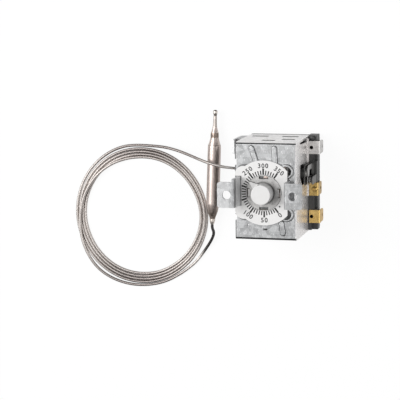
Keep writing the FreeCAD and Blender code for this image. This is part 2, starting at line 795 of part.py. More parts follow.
def scale_plate():
    """The white scale plate: a disc squared out at the left, cut at the right, with a notch for the strap."""
    body = new_body("scale_plate")
    disc = new_sketch(body, "scale_disc", "XY_Plane", strap_face)
    circle(disc, 0, 0, scale_radius)
    pad(body, disc, size.scale_metal)
    wing = new_sketch(body, "scale_wing", "XY_Plane", strap_face)
    box_outline(wing, -scale_left, -size.scale_half_height, 0, size.scale_half_height)
    pad(body, wing, size.scale_metal)
    doc.recompute()
    middle = strap_face + size.scale_metal / 2
    dress(body, "Fillet", size.scale_corner, [(-scale_left, size.scale_half_height, middle),
                                              (-scale_left, -size.scale_half_height, middle)])
    trims = new_sketch(body, "scale_trims", "XY_Plane", strap_face - CLEAR)
    reach = scale_radius + CLEAR
    box_outline(trims, size.scale_right, -reach, reach, reach)
    box_outline(trims, -reach, -size.ear_half_width - size.notch_gap,
                size.strap_metal + size.notch_gap + size.riser_lean - size.riser_out,
                size.ear_half_width + size.riser_extra + size.notch_gap)
    pocket(body, trims, size.scale_metal + 2 * CLEAR, up=True)
    eye = new_sketch(body, "scale_eye", "XY_Plane", strap_face - CLEAR)
    circle(eye, 0, 0, size.scale_eye_radius)
    circle(eye, size.dot_x, -size.dot_y, size.dot_radius)
    pocket(body, eye, size.scale_metal + 2 * CLEAR, up=True)


def stop_disc():
    """The grey disc under the knob, with four slots and two lugs bent up as range stops."""
    body = new_body("stop_disc")
    disc = new_sketch(body, "stop_plate", "XY_Plane", strap_face)
    circle(disc, 0, 0, size.stop_disc_radius)
    circle(disc, 0, 0, size.spindle_radius + size.spindle_run * 2)
    pad(body, disc, size.stop_disc_metal)
    cut_stop_slots(body, strap_face, size.stop_disc_metal)
    lugs = new_sketch(body, "stop_lugs", "XY_Plane", strap_face)
    edge = size.stop_slot_ring + size.stop_lug_out
    for sign in (1, -1):
        sides = ordered(edge * sign, (edge - size.stop_lug_thickness) * sign)
        box_outline(lugs, sides[0], -size.stop_lug_half, sides[1], size.stop_lug_half)
    pad(body, lugs, size.stop_disc_metal + size.stop_lug_height)


def spindle_bush():
    """The bush that carries the spindle, fixed in the front plate and the strap."""
    body = new_body("spindle_bush")
    bore = size.spindle_radius + size.spindle_run
    low = plate_back - size.bush_flange_height
    turned(body, "bush", [(bore, low), (size.bush_flange_radius - size.edge_break, low),
                          (size.bush_flange_radius, low + size.edge_break),
                          (size.bush_flange_radius, plate_back), (size.bush_radius, plate_back),
                          (size.bush_radius, strap_face - size.seat_gap), (bore, strap_face - size.seat_gap)])


def spindle():
    """The setting spindle: knob end, collar under the bush and threaded shank."""
    body = new_body("spindle")
    top = disc_face + size.knob_lift + size.knob_height - size.knob_roof - size.seat_gap
    turned(body, "spindle", [(0, spindle_foot), (size.thread_radius - size.edge_break, spindle_foot),
                             (size.thread_radius, spindle_foot + size.edge_break),
                             (size.thread_radius, collar_low),
                             (size.collar_radius, collar_low), (size.collar_radius, collar_top),
                             (size.spindle_radius, collar_top), (size.spindle_radius, top - size.edge_break),
                             (size.spindle_radius - size.edge_break, top), (0, top)])


def setting_knob():
    """The white knob, with its wedge-shaped pointer."""
    body = new_body("setting_knob")
    low = disc_face + size.knob_lift
    top = low + size.knob_height
    bore = size.spindle_radius + size.spindle_run / 2
    roof = top - size.knob_roof
    turned(body, "knob", [(bore, low), (size.knob_radius, low), (size.knob_radius - size.knob_draft, top),
                          (0, top), (0, roof), (bore, roof)])
    doc.recompute()
    dress(body, "Fillet", size.knob_rounding, [(size.knob_draft - size.knob_radius, 0, top)])
    pointer = new_sketch(body, "pointer", "XY_Plane", low)
    root = bore + size.pointer_root_gap
    outline(pointer, [(size.pointer_reach, size.pointer_tip_half), (root, size.pointer_half),
                      (root, -size.pointer_half), (size.pointer_reach, -size.pointer_tip_half)])
    pad(body, pointer, size.pointer_thickness)
    body.Placement = FreeCAD.Placement(FreeCAD.Vector(0, 0, 0), FreeCAD.Rotation(FreeCAD.Vector(0, 0, 1), 0))
    bind(body, "Placement.Rotation.Angle", size.pointer_angle)


def setting_nut():
    """The hexagonal nut on the spindle's thread, with an ear that runs on the guide pin."""
    body = new_body("setting_nut")
    half = size.nut_flats / 2
    corner = half * (2 / math.sqrt(3))
    hexagon = new_sketch(body, "nut_hexagon", "XY_Plane", nut_level)
    outline(hexagon, [(corner * round(math.cos(math.radians(60 * i)), 6),
                       corner * round(math.sin(math.radians(60 * i)), 6)) for i in range(6)])
    pad(body, hexagon, size.nut_height)
    ear = new_sketch(body, "nut_ear", "XY_Plane", nut_level)
    ear_end = size.guide_pin_x + size.guide_pin_radius + size.guide_ear_wall
    ear_half = size.guide_pin_radius + size.guide_ear_wall
    box_outline(ear, -ear_end, -ear_half, -half, ear_half)
    pad(body, ear, size.nut_height / 2)
    bores = new_sketch(body, "nut_bores", "XY_Plane", nut_level - CLEAR)
    circle(bores, 0, 0, size.thread_radius + size.spindle_run)
    circle(bores, -size.guide_pin_x, 0, size.guide_pin_radius + size.guide_pin_run)
    pocket(body, bores, size.nut_height + 2 * CLEAR, up=True)


def nut_guide_pin():
    """The pin behind the front plate that keeps the setting nut from turning."""
    body = new_body("nut_guide_pin")
    length = plate_back - guide_pin_foot
    turned(body, "guide_pin", [(0, 0), (size.guide_pin_radius - size.edge_break, 0),
                               (size.guide_pin_radius, size.edge_break), (size.guide_pin_radius, length),
                               (0, length)])
    place(body, -size.guide_pin_x, 0, guide_pin_foot)


def range_spring():
    """The compression spring between the setting nut and the crank's cup."""
    low = (crank_arm_top + size.seat_gap + size.spring_wire).value
    high = (nut_level - size.seat_gap - size.spring_wire).value
    steps = round(size.spring_turns.value * SPRING_POINTS)
    turn = 2 * math.pi / SPRING_POINTS
    reach = size.spring_radius.value
    points = [(reach * math.cos(turn * i), reach * math.sin(turn * i), low + (high - low) * i / steps)
              for i in range(steps + 1)]
    tube_along("range_spring", points, size.spring_wire.value)


def diaphragm_capsule():
    """The welded capsule: a rippled diaphragm over a flat shell, with its foot and capillary nipple."""
    body = new_body("diaphragm_capsule")
    low = size.capsule_low
    top = capsule_top
    rim = size.capsule_radius
    profile = [(0, size.sheet_metal), (size.capsule_boss, size.sheet_metal), (size.capsule_boss, low),
               (rim - size.weld_step * 2, low), (rim - size.weld_step, low + size.weld_low),
               (rim, low + size.weld_low),
               (rim, low + size.weld_high), (rim - size.weld_step, low + size.weld_high)]
    profile += [(rim - inset, top - drop) for inset, drop in RIPPLES]
    turned(body, "capsule", profile + [(0, top)])
    nipple = new_sketch(body, "nipple", "YZ_Plane", -size.nipple_end)
    circle(nipple, size.nipple_y, low + size.capsule_thick / 2, size.nipple_radius)
    pad(body, nipple, size.nipple_end - rim + size.nipple_depth)


def capillary_sleeve():
    """The brazed sleeve that the capillary leaves the capsule through."""
    body = new_body("capillary_sleeve")
    length = size.sleeve_length
    wide = size.sleeve_radius
    turned(body, "sleeve", [(0, 0), (wide, 0), (wide, length * size.sleeve_straight),
                            (size.capillary_radius + size.fine_break, length), (0, length)])
    place(body, -size.nipple_end, size.nipple_y, size.capsule_low + size.capsule_thick / 2, AGAINST_X)


def diaphragm_stem():
    """The thrust stem that rides on the diaphragm and lifts the crank."""
    body = new_body("diaphragm_stem")
    low = capsule_top + size.seat_gap
    thin = size.stem_radius
    step = low + size.stem_foot_height
    turned(body, "stem", [(0, low), (size.stem_foot_radius, low), (size.stem_foot_radius, step), (thin, step),
                          (thin, size.stem_top - size.edge_break * 2),
                          (size.stem_tip_radius, size.stem_top - size.fine_break), (0, size.stem_top)])


def bell_crank():
    """The crank: a pierced hub, an arm with the spring's cup and an upright arm for the plunger."""
    body = new_body("bell_crank")
    hub = new_sketch(body, "crank_hub", "XZ_Plane", -size.hub_high)
    circle(hub, size.pivot_x, size.pivot_z, size.hub_radius)
    pad(body, hub, size.hub_high + size.hub_low)
    arm = new_sketch(body, "crank_arm", "XY_Plane", size.crank_arm_low)
    box_outline(arm, 0, -size.crank_arm_half, size.pivot_x, size.crank_arm_half)
    pad(body, arm, size.crank_metal)
    cup = new_sketch(body, "crank_cup", "XY_Plane", size.crank_arm_low)
    circle(cup, 0, 0, size.spring_cup_radius)
    pad(body, cup, size.crank_metal)
    upright = new_sketch(body, "crank_upright", "YZ_Plane", crank_push_face - size.crank_metal)
    middle = size.plunger_y
    half = size.upper_arm_half
    root = half + size.upper_arm_flare
    corner = size.upper_arm_corner
    top = size.upper_arm_top
    outline(upright, [(middle - root, size.pivot_z), (middle + root, size.pivot_z),
                      (middle + half, top - corner), (middle + half - corner, top),
                      (middle - half + corner, top), (middle - half, top - corner)])
    pad(body, upright, size.crank_metal)
    bore = new_sketch(body, "crank_bore", "XZ_Plane", -size.hub_high - CLEAR)
    circle(bore, size.pivot_x, size.pivot_z, size.pin_radius + size.pin_run)
    pocket(body, bore, size.hub_high + size.hub_low + 2 * CLEAR, up=True)
    tapped = new_sketch(body, "adjuster_hole", "XY_Plane", size.crank_arm_low - CLEAR)
    circle(tapped, 0, 0, size.adjuster_radius + size.pin_run / 2)
    pocket(body, tapped, size.crank_metal + 2 * CLEAR, up=True)


def adjusting_screw():
    """The slotted grub screw in the crank's arm, over the stem."""
    body = new_body("adjusting_screw")
    low = size.stem_top + size.seat_gap
    high = low + size.adjuster_length
    turned(body, "adjuster", [(0, low), (size.adjuster_radius - size.edge_break, low),
                              (size.adjuster_radius, low + size.edge_break),
                              (size.adjuster_radius, high), (0, high)])
    slot = new_sketch(body, "adjuster_slot", "XY_Plane", high + CLEAR)
    reach = size.adjuster_radius + CLEAR
    box_outline(slot, -reach, -size.adjuster_slot_half, reach, size.adjuster_slot_half)
    pocket(body, slot, size.adjuster_slot_depth + CLEAR)


def crank_pin():
    """The pin that the crank turns on, carried by the bracket."""
    body = new_body("crank_pin")
    length = size.bracket_low + size.bracket_high + size.sheet_metal * 2
    turned(body, "pin", [(0, 0), (size.pin_radius, 0), (size.pin_radius, length), (0, length)])
    place(body, size.pivot_x, -size.bracket_low - size.sheet_metal, size.pivot_z, ALONG_Y)


def pivot_bracket():
    """The U-shaped bracket on the back plate that holds the crank's pin."""
    body = new_body("pivot_bracket")
    section = new_sketch(body, "bracket_section", "YZ_Plane", size.pivot_x - size.bracket_half)
    low_out = -size.bracket_low - size.sheet_metal
    high_out = size.bracket_high + size.sheet_metal
    top = size.pivot_z + size.bracket_shoulder
    base = size.sheet_metal
    outline(section, [(low_out, base), (high_out, base), (high_out, top), (size.bracket_high, top),
                      (size.bracket_high, base + size.sheet_metal),
                      (-size.bracket_low, base + size.sheet_metal), (-size.bracket_low, top), (low_out, top)])
    pad(body, section, size.bracket_half * 2)
    bore = new_sketch(body, "bracket_bore", "XZ_Plane", CLEAR - low_out)
    circle(bore, size.pivot_x, size.pivot_z, size.pin_radius + size.pin_seat_run)
    pocket(body, bore, high_out - low_out + 2 * CLEAR)


def contact_block():
    """The black moulded base of the switch: a slab in the case and a bar outside it, with its recesses."""
    body = new_body("contact_block")
    slab = new_sketch(body, "block_slab", "XY_Plane", size.sheet_metal)
    box_outline(slab, size.block_inner, size.sheet_metal - tray_bottom + size.sheet_gap, size.block_step,
                tray_top - size.sheet_metal - size.sheet_gap)
    pad(body, slab, size.block_top - size.sheet_metal)
    bar = new_sketch(body, "block_bar", "XY_Plane", size.sheet_metal)
    box_outline(bar, size.block_step, -size.block_low, size.base_right, size.block_high)
    pad(body, bar, size.block_top - size.sheet_metal)
    steps = new_sketch(body, "block_steps", "XY_Plane", size.block_top + CLEAR)
    edge = size.base_right - size.block_relief
    half = size.terminal_width / 2 + size.terminal_seat_margin
    outer = size.base_right + CLEAR
    box_outline(steps, edge, size.terminal_bottom_y + half, outer, size.terminal_middle_y - half)
    box_outline(steps, edge, size.blade_high + size.terminal_seat_margin, outer, size.terminal_top_y - half)
    deep = edge - size.block_relief
    box_outline(steps, deep, -size.block_low - CLEAR, outer, size.terminal_bottom_y - half)
    pocket(body, steps, size.block_step_depth + CLEAR)
    holes = new_sketch(body, "block_holes", "XY_Plane", size.block_top + CLEAR)
    for level in (size.terminal_top_y, size.terminal_bottom_y):
        circle(holes, terminal_hole_x, level, size.terminal_hole_radius)
    rivet_hole = size.rivet_radius + size.pin_run
    circle(holes, rivet_x, size.terminal_middle_y, rivet_hole)
    circle(holes, size.block_screw_x, size.block_high - size.block_screw_inset, rivet_hole)
    pocket(body, holes, size.block_hole_depth + CLEAR)


def block_screw():
    """The dark round-headed screw at the block's upper end."""
    body = new_body("block_screw")
    head = size.screw_head_height
    shank = size.rivet_radius
    wide = size.screw_head_radius
    profile = [(0, -size.shank_length), (shank, -size.shank_length), (shank, 0), (wide, 0)]
    profile += [(wide * across, head * up) for across, up in SCREW_HEAD]
    turned(body, "screw", profile)
    place(body, size.block_screw_x, size.block_high - size.block_screw_inset, size.block_top)


def terminal(label, level, reach, pierced):
    """A tab terminal: a plate on the block, bent down into a 6.3 mm tab beside it."""
    body = new_body(label)
    metal = size.terminal_metal
    top = size.block_top + metal
    section = new_sketch(body, label + "_section", "XZ_Plane", -size.terminal_width / 2)
    inside = reach - metal
    outline(section, [(size.terminal_inner, size.block_top), (inside, size.block_top), (inside, size.tab_tip),
                      (reach, size.tab_tip), (reach, top), (size.terminal_inner, top)])
    pad(body, section, size.terminal_width)
    doc.recompute()
    dress(body, "Fillet", metal * FOLD, [(reach, 0, top)])
    half_tab = size.tab_width / 2
    waist = new_sketch(body, label + "_waist", "YZ_Plane", reach + CLEAR)
    for sign in (1, -1):
        sides = ordered(half_tab * sign, (half_tab + CLEAR) * sign)
        box_outline(waist, sides[0], size.tab_tip - CLEAR, sides[1], size.block_top - size.tab_shoulder)
    pocket(body, waist, metal + 2 * CLEAR)
    tip = [(reach - metal / 2, half_tab * sign, size.tab_tip) for sign in (1, -1)]
    dress(body, "Chamfer", size.tab_chamfer, tip)
    tab_hole = new_sketch(body, label + "_tab_hole", "YZ_Plane", reach + CLEAR)
    circle(tab_hole, 0, size.tab_hole_level, size.tab_hole_radius)
    pocket(body, tab_hole, metal + 2 * CLEAR)
    plate_hole = new_sketch(body, label + "_plate_hole", "XY_Plane", top + CLEAR)
    if pierced:
        circle(plate_hole, terminal_hole_x, 0, size.terminal_hole_radius)
    else:
        circle(plate_hole, rivet_x, 0, size.rivet_radius + size.pin_run)
    pocket(body, plate_hole, metal + 2 * CLEAR)
    place(body, 0, level, 0)


def terminal_rivet():
    """The tubular rivet through the middle terminal."""
    body = new_body("terminal_rivet")
    head = size.rivet_head_height
    shank = size.rivet_radius
    wide = size.rivet_head_radius
    profile = [(0, -size.shank_length), (shank, -size.shank_length), (shank, 0), (wide, 0)]
    profile += [(wide * across, head * up) for across, up in RIVET_HEAD]
    turned(body, "rivet", profile)
    place(body, rivet_x, size.terminal_middle_y, size.block_top + size.terminal_metal)


def plunger_guide():
    """The black guide behind the wall's window, with the plunger's bore in its boss."""
    body = new_body("plunger_guide")
    plate = new_sketch(body, "guide_plate", "YZ_Plane", wall_inner - size.guide_metal)
    margin = size.guide_margin
    box_outline(plate, size.window_left - margin, size.window_low - margin, size.window_right + margin,
                size.window_high + margin)
    pad(body, plate, size.guide_metal)
    boss = new_sketch(body, "guide_boss", "YZ_Plane", wall_inner - size.guide_boss_in)
    circle(boss, size.plunger_y, size.plunger_z, size.guide_boss_radius)
    pad(body, boss, size.guide_boss_in + size.guide_boss_out)
    bore = new_sketch(body, "guide_bore", "YZ_Plane", wall_inner - size.guide_boss_in - CLEAR)
    circle(bore, size.plunger_y, size.plunger_z, size.plunger_radius + size.plunger_run)
    pocket(body, bore, size.guide_boss_in + size.guide_boss_out + 2 * CLEAR, up=True)


def plunger():
    """The ceramic plunger between the crank and the switch blade, with round ends."""
    body = new_body("plunger")
    length = size.blade_x - crank_push_face - size.seat_gap * 2
    thick = size.plunger_radius
    head = size.plunger_head_radius
    turned(body, "plunger", [(0, 0), (size.plunger_crown, size.fine_break), (head, size.edge_break * 1.5),
                             (head, size.plunger_head_length), (thick, size.plunger_head_length),
                             (thick, length - size.edge_break * 1.5),
                             (size.plunger_crown, length - size.fine_break),
                             (0, length)])
    place(body, crank_push_face + size.seat_gap, size.plunger_y, size.plunger_z, ALONG_X)


def snap_blade():
    """The thin spring blade with its stamped window and the hole for the moving contact."""
    body = new_body("snap_blade")
    blade = new_sketch(body, "blade", "YZ_Plane", size.blade_x)
    low = size.blade_low
    high = size.blade_high
    top = size.blade_top
    waist = size.blade_waist
    shoulder = blade_foot + size.blade_waist_height
    corner = size.blade_corner
    outline(blade, [(low + waist, blade_foot), (high - waist, blade_foot), (high, shoulder),
                    (high, top - corner), (high - corner, top), (low + corner, top), (low, top - corner),
                    (low, shoulder)])
    pad(body, blade, size.blade_metal)
    window = new_sketch(body, "blade_window", "YZ_Plane", size.blade_x - CLEAR)
    box_outline(window, size.plunger_y - size.blade_window_half, blade_foot + size.blade_window_inset,
                size.plunger_y + size.blade_window_half, size.plunger_z - size.blade_window_inset)
    pocket(body, window, size.blade_metal + 2 * CLEAR, up=True)
    hole = new_sketch(body, "blade_hole", "YZ_Plane", size.blade_x - CLEAR)
    circle(hole, size.contact_y, size.contact_z, size.contact_shank_radius + size.pin_run / 2)
    pocket(body, hole, size.blade_metal + 2 * CLEAR, up=True)


def blade_clamp():
    """The brass clamp that holds the blade's foot on the block."""
    body = new_body("blade_clamp")
    clamp = new_sketch(body, "clamp", "XY_Plane", size.block_top)
    middle = size.blade_x + size.blade_metal / 2
    half = size.clamp_thick / 2
    inset = size.blade_waist / 2
    box_outline(clamp, middle - half, size.blade_low + inset, middle + half, size.blade_high - inset)
    pad(body, clamp, size.clamp_height)


def moving_contact():
    """The double-headed contact rivet in the blade."""
    body = new_body("moving_contact")
    half = size.moving_contact_half
    radius = size.contact_radius
    shank = size.contact_shank_radius
    metal = size.blade_metal
    bevel = size.fine_break
    turned(body, "moving_rivet", [(0, -half), (radius - bevel, -half), (radius, bevel - half), (radius, 0),
                                  (shank, 0), (shank, metal), (radius, metal), (radius, metal + half - bevel),
                                  (radius - bevel, metal + half), (0, metal + half)])
    place(body, size.blade_x, size.contact_y, size.contact_z, ALONG_X)


def contact_carrier(label, across, high, top, plunger_hole):
    """An upright carrier plate on the block, with a foot."""
    body = new_body(label)
    plate = new_sketch(body, label + "_plate", "YZ_Plane", across)
    low = size.blade_low
    corner = size.blade_corner
    outline(plate, [(low, size.block_top), (high, size.block_top), (high, top - corner), (high - corner, top),
                    (low + corner, top), (low, top - corner)])
    pad(body, plate, size.carrier_metal)
    if plunger_hole:
        hole = new_sketch(body, label + "_hole", "YZ_Plane", across - CLEAR)
        circle(hole, size.plunger_y, size.plunger_z, size.plunger_radius + size.carrier_hole_margin)
        pocket(body, hole, size.carrier_metal + 2 * CLEAR, up=True)


def fixed_contact(label, across, height):
    """A flat contact button on a carrier."""
    body = new_body(label)
    radius = size.contact_radius
    bevel = size.fine_break
    rim = height - bevel
    turned(body, label, [(0, 0), (radius, 0), (radius, rim), (radius - bevel, height), (0, height)])
    return body


def fixed_contacts():
    """The buttons that the moving contact closes against, one on each carrier."""
    inner_face = size.blade_x - size.moving_contact_half - size.seat_gap
    inner_height = inner_face - size.inner_carrier_x - size.carrier_metal
    inner = fixed_contact("inner_contact", size.inner_carrier_x, inner_height)
    place(inner, size.inner_carrier_x + size.carrier_metal, size.contact_y, size.contact_z, ALONG_X)
    outer = fixed_contact("outer_contact", size.outer_carrier_x, size.outer_contact_height)
    place(outer, size.outer_carrier_x, size.contact_y, size.contact_z, AGAINST_X)


def sensor_bulb():
    """The bulb: lower neck, cone, cylinder, banded shoulder, closing stem and round tip."""
    body = new_body("sensor_bulb")
    neck = size.bulb_tail_radius
    wide = size.bulb_radius
    cone = size.bulb_tail_length
    body_low = cone + size.bulb_tail_cone
    body_high = body_low + size.bulb_body_length
    band_low = body_high + size.bulb_shoulder_length
    band_high = band_low + size.bulb_band_length
    stem_low = band_high + size.bulb_neck_length
    stem_high = stem_low + size.bulb_stem_length
    tip = stem_high + size.bulb_tip_radius
    soft = size.edge_break
    thin = size.bulb_stem_radius
    profile = [(0, 0), (neck - soft, 0), (neck, soft), (neck + soft / 2, cone),
               (wide - soft, body_low - soft * 2),
               (wide, body_low + soft), (wide, body_high - soft), (wide - soft, body_high + soft),
               (size.bulb_band_radius + soft / 4, band_low - soft), (size.bulb_band_radius, band_low),
               (size.bulb_band_radius, band_high),
               (size.bulb_root_radius, stem_low - soft * 2), (thin, stem_low),
               (thin, stem_high - soft * 2), (size.bulb_pinch_radius, stem_high)]
    for degrees in range(-14, 70, 20):
        swing = math.radians(degrees)
        profile.append((size.bulb_tip_radius * round(math.cos(swing), 6),
                        tip + size.bulb_tip_radius * round(math.sin(swing), 6)))
    profile.append((0, tip + size.bulb_tip_radius))
    turned(body, "bulb", profile)
    lay_down = FreeCAD.Rotation(FreeCAD.Vector(0, 0, 1), -size.bulb_tilt.value)
    place(body, size.bulb_end_x, size.bulb_end_y, size.bulb_radius, lay_down.multiply(ALONG_Y))


def oval_block(x, y, half_width, half_length, low, high):
    """An upright block with an elliptical outline, between two levels."""
    low = as_size(low).value
    centre = FreeCAD.Vector(x.value, y.value, low)
    up = FreeCAD.Vector(0, 0, 1)
    widest = max(half_width.value, half_length.value)
    edge = Part.Ellipse(centre, widest, min(half_width.value, half_length.value)).toShape()
    if half_length.value == widest:
        edge.rotate(centre, up, 90)
    return Part.Face(Part.Wire([edge])).extrude(up * (as_size(high).value - low))


def capillary():
    """The lead from the sleeve, the solid that the coil's turns fill, and the tail into the bulb."""
    sleeve_end = (-(size.nipple_end + size.sleeve_length).value, size.nipple_y.value,
                  (size.capsule_low + size.capsule_thick / 2).value)
    tube_along("capillary_lead", [sleeve_end] + LEAD_ROUTE, size.capillary_radius.value)
    bulb_end = (size.bulb_end_x.value, size.bulb_end_y.value, size.bulb_radius.value)
    tube_along("capillary_tail", TAIL_ROUTE + [bulb_end], size.capillary_radius.value)
    outside = oval_block(size.coil_x, size.coil_y, size.coil_half_width, size.coil_half_length, 0,
                         size.coil_height)
    inside = oval_block(size.coil_inner_x, size.coil_inner_y, size.coil_inner_half_width,
                        size.coil_inner_half_length, -CLEAR, size.coil_height + CLEAR)
    ring = outside.cut(inside)
    rims = [edge for edge in ring.Edges if edge.BoundBox.ZLength < 0.01]
    coil = doc.addObject("Part::Feature", "capillary_coil")
    coil.Label = "capillary_coil"
    coil.Shape = ring.makeFillet(size.coil_rounding.value, rims).Solids[0]
    coil.Placement = FreeCAD.Placement()


front_frame()
rear_plate()
mounting_strap()
scale_plate()
stop_disc()
spindle_bush()
spindle()
setting_knob()
setting_nut()
nut_guide_pin()
range_spring()
diaphragm_capsule()
capillary_sleeve()
diaphragm_stem()
bell_crank()
adjusting_screw()
crank_pin()
pivot_bracket()
contact_block()
block_screw()
terminal("terminal_top", size.terminal_top_y, terminal_outer, True)
terminal("terminal_middle", size.terminal_middle_y, terminal_outer - size.terminal_metal, False)
terminal("terminal_bottom", size.terminal_bottom_y, terminal_outer, True)
terminal_rivet()
plunger_guide()
plunger()
snap_blade()
blade_clamp()
moving_contact()
inner_carrier_top = size.blade_top + size.carrier_extra
contact_carrier("inner_carrier", size.inner_carrier_x, size.blade_high, inner_carrier_top, True)
contact_carrier("outer_carrier", size.outer_carrier_x, size.outer_carrier_high, size.outer_carrier_top, False)
fixed_contacts()
sensor_bulb()
capillary()
doc.recompute()

failed = [item.Name for item in doc.Objects if "Invalid" in item.State or "Error" in item.State]
if failed:
    raise ValueError(f"failed objects: {failed}")
pieces = [item for item in doc.Objects if item.TypeId == "PartDesign::Body"
          or (item.TypeId == "Part::Feature" and item.getParentGeoFeatureGroup() is None)]
os.makedirs("parts", exist_ok=True)
for piece in pieces:
    if piece.Shape.isNull() or not piece.Shape.isValid():
        raise ValueError(f"{piece.Label} has no valid shape")
for piece in pieces:
    piece.Shape.exportStep(f"parts/{piece.Label}.step")
    print(f"{piece.Label}: {len(piece.Shape.Solids)} solid, {piece.Shape.Volume:.1f} cubic mm")
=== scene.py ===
import json
import math

import bmesh
import bpy
import numpy as np
from mathutils import Matrix, Vector


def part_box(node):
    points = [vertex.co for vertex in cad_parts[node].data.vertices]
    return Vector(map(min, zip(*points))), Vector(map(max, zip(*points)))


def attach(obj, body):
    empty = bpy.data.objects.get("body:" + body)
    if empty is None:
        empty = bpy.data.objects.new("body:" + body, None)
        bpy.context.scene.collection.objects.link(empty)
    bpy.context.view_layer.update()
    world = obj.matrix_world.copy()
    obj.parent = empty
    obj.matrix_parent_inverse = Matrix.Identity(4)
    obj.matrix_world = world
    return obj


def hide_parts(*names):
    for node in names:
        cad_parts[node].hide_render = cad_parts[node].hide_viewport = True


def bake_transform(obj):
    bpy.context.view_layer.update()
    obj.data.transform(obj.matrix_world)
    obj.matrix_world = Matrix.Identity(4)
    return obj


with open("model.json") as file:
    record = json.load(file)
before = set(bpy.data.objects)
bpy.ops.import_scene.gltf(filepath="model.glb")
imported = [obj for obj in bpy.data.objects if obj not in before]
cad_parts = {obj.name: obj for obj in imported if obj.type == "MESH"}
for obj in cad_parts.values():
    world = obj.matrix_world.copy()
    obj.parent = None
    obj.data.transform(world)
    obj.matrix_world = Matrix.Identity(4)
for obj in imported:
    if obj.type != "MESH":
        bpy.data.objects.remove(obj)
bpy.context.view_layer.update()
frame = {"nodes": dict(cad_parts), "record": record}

# A built-in capillary thermostat lying on its back, in the frame of the solid model:
# the spindle's axis meets the floor at the origin, +Z points out of the dial,
# +X towards the terminals and +Y towards the top of the scale. The scene is in metres.
MM = 0.001


def span(solid, axis):
    """A solid's lowest and highest place along one axis, in millimetres."""
    low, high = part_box(solid)
    place = "XYZ".index(axis)
    return low[place] / MM, high[place] / MM


# Camera: place, viewing axes and focal length, fitted to the picture's corners and holes
CAMERA_PLACE = (0.17503, 0.11935, 0.80095)
CAMERA_RIGHT = (0.9651811, -0.01293576, -0.26126253)
CAMERA_UP = (-0.02817145, 0.98782713, -0.15298344)
CAMERA_BACK = (0.26006117, 0.15501687, 0.95306766)
CAMERA_LENS = 144.0

# Case: its outer faces and the front plate's level in millimetres, from the solids
CASE_LEFT, WALL_FACE = span("front_frame", "X")
CASE_FOOT, CASE_HEAD = span("front_frame", "Y")
TAB_FACE = span("rear_plate", "X")[0]
PLATE_FACE = span("mounting_strap", "Z")[0]

# Case: where the zones on its outer faces end and where its inside begins, for its painted light and shade,
# in millimetres
WALL_ZONE = WALL_FACE - 1.0
FLANGE_ZONE = CASE_HEAD - 0.9
WALL_IN = WALL_FACE - 1.65
FOOT_IN = CASE_FOOT + 1.05
TAB_IN = TAB_FACE + 1.1
PLATE_IN = PLATE_FACE - 1.05

# Case: the slots in its top flange as (left, right, low, high), in millimetres, which painted shade darkens
FLANGE_SLOTS = (
    (-12.2, -3.8, 9.4, 13.0), (3.3, 11.7, 9.4, 13.0), (-3.3, 3.3, 26.6, 30.2), (5.7, 12.3, 21.4, 25.0),
)

# Front plate: its collared holes' distances from the spindle along X and Y and their radius, in millimetres,
# which painted shade darkens inside
HOLE_PLACE = (11.1, 10.7)
HOLE_RADIUS = 2.62

# Range stops: inner and outer radius of the ring that their slots lie in, on the plate and on the disc, in
# millimetres, which painted shade darkens
PLATE_STOP_RING = (6.93, 8.515)
DISC_STOP_RING = (6.95, 8.444)

# Capillary: the lead from the capsule's sleeve over the bulb, in millimetres
LEAD = [
    (-14.5, 5.6, 4.45), (-17.6, 6.2, 5.3), (-20.6, 7.2, 8.2), (-23.6, 8.0, 10.4), (-28.4, 8.5, 11.3),
    (-36.6, 10.4, 11.0), (-50.4, 14.3, 4.0), (-57.6, 16.2, 2.4), (-64.6, 17.4, 2.2),
]

# Capillary: the tail from the coil to the bulb's lower end, in millimetres
TAIL = [
    (-48.9, -46.6, 0.85), (-45.0, -43.0, 0.85), (-41.2, -37.9, 0.9), (-38.0, -33.3, 1.5),
    (-36.0, -29.8, 2.4), (-35.3, -27.2, 3.1), (-36.3, -24.6, 3.5), (-36.1, -23.1, 3.5),
]
TUBE_RADIUS = 0.75 * MM

# Tail: centre and reach of its end that is painted near black as shade, and its highest place along Y in
# millimetres, and how far outside the coil it lies, as a share of the coil's half axes squared
TAIL_END = (-36.5, -28.0)
TAIL_REACH = 15.0
TAIL_TOP = -20.0
TAIL_SHARE = 1.065

# Lead: where its end at the case, which is painted light, begins, along X and along Y, in millimetres
BRIGHT_LEFT = -26.0
BRIGHT_LOW = 0.0

# Coil: the outermost line's centre and half axes in millimetres
COIL_CENTRE = (-75.5, -19.7)
COIL_HALF = (36.4, 38.0)
COIL_POINTS_PER_TURN = 24

# Coil: winding angle in degrees, distance inside the outermost line and height of the tube's centre in
# millimetres. The turns lie side by side, two deep at the right, and the last crosses the others at the left.
COIL_STATIONS = [
    (98, 0.0, 1.9), (135, 0.1, 1.1), (180, 0.0, 0.75), (270, 1.6, 0.75), (310, 1.6, 0.75), (360, 0.0, 0.75),
    (450, 2.4, 0.75), (540, 1.55, 0.75), (630, 3.15, 0.75), (670, 2.9, 1.35), (720, 1.0, 1.9),
    (810, 3.95, 0.75), (900, 3.1, 0.75), (990, 4.7, 0.75), (1030, 4.3, 0.75), (1080, 1.95, 0.75),
    (1170, 5.5, 0.75), (1260, 4.6, 0.75), (1350, 6.3, 0.75), (1390, 5.6, 1.35), (1440, 2.95, 1.9),
    (1530, 7.0, 0.75), (1550, 6.6, 1.3), (1575, 5.3, 2.3), (1620, 2.3, 2.3), (1650, -0.4, 2.1),
    (1668, -1.9, 1.0), (1690, -1.1, 0.75), (1710, 0.0, 0.75), (1744, 0.0, 0.75),
]

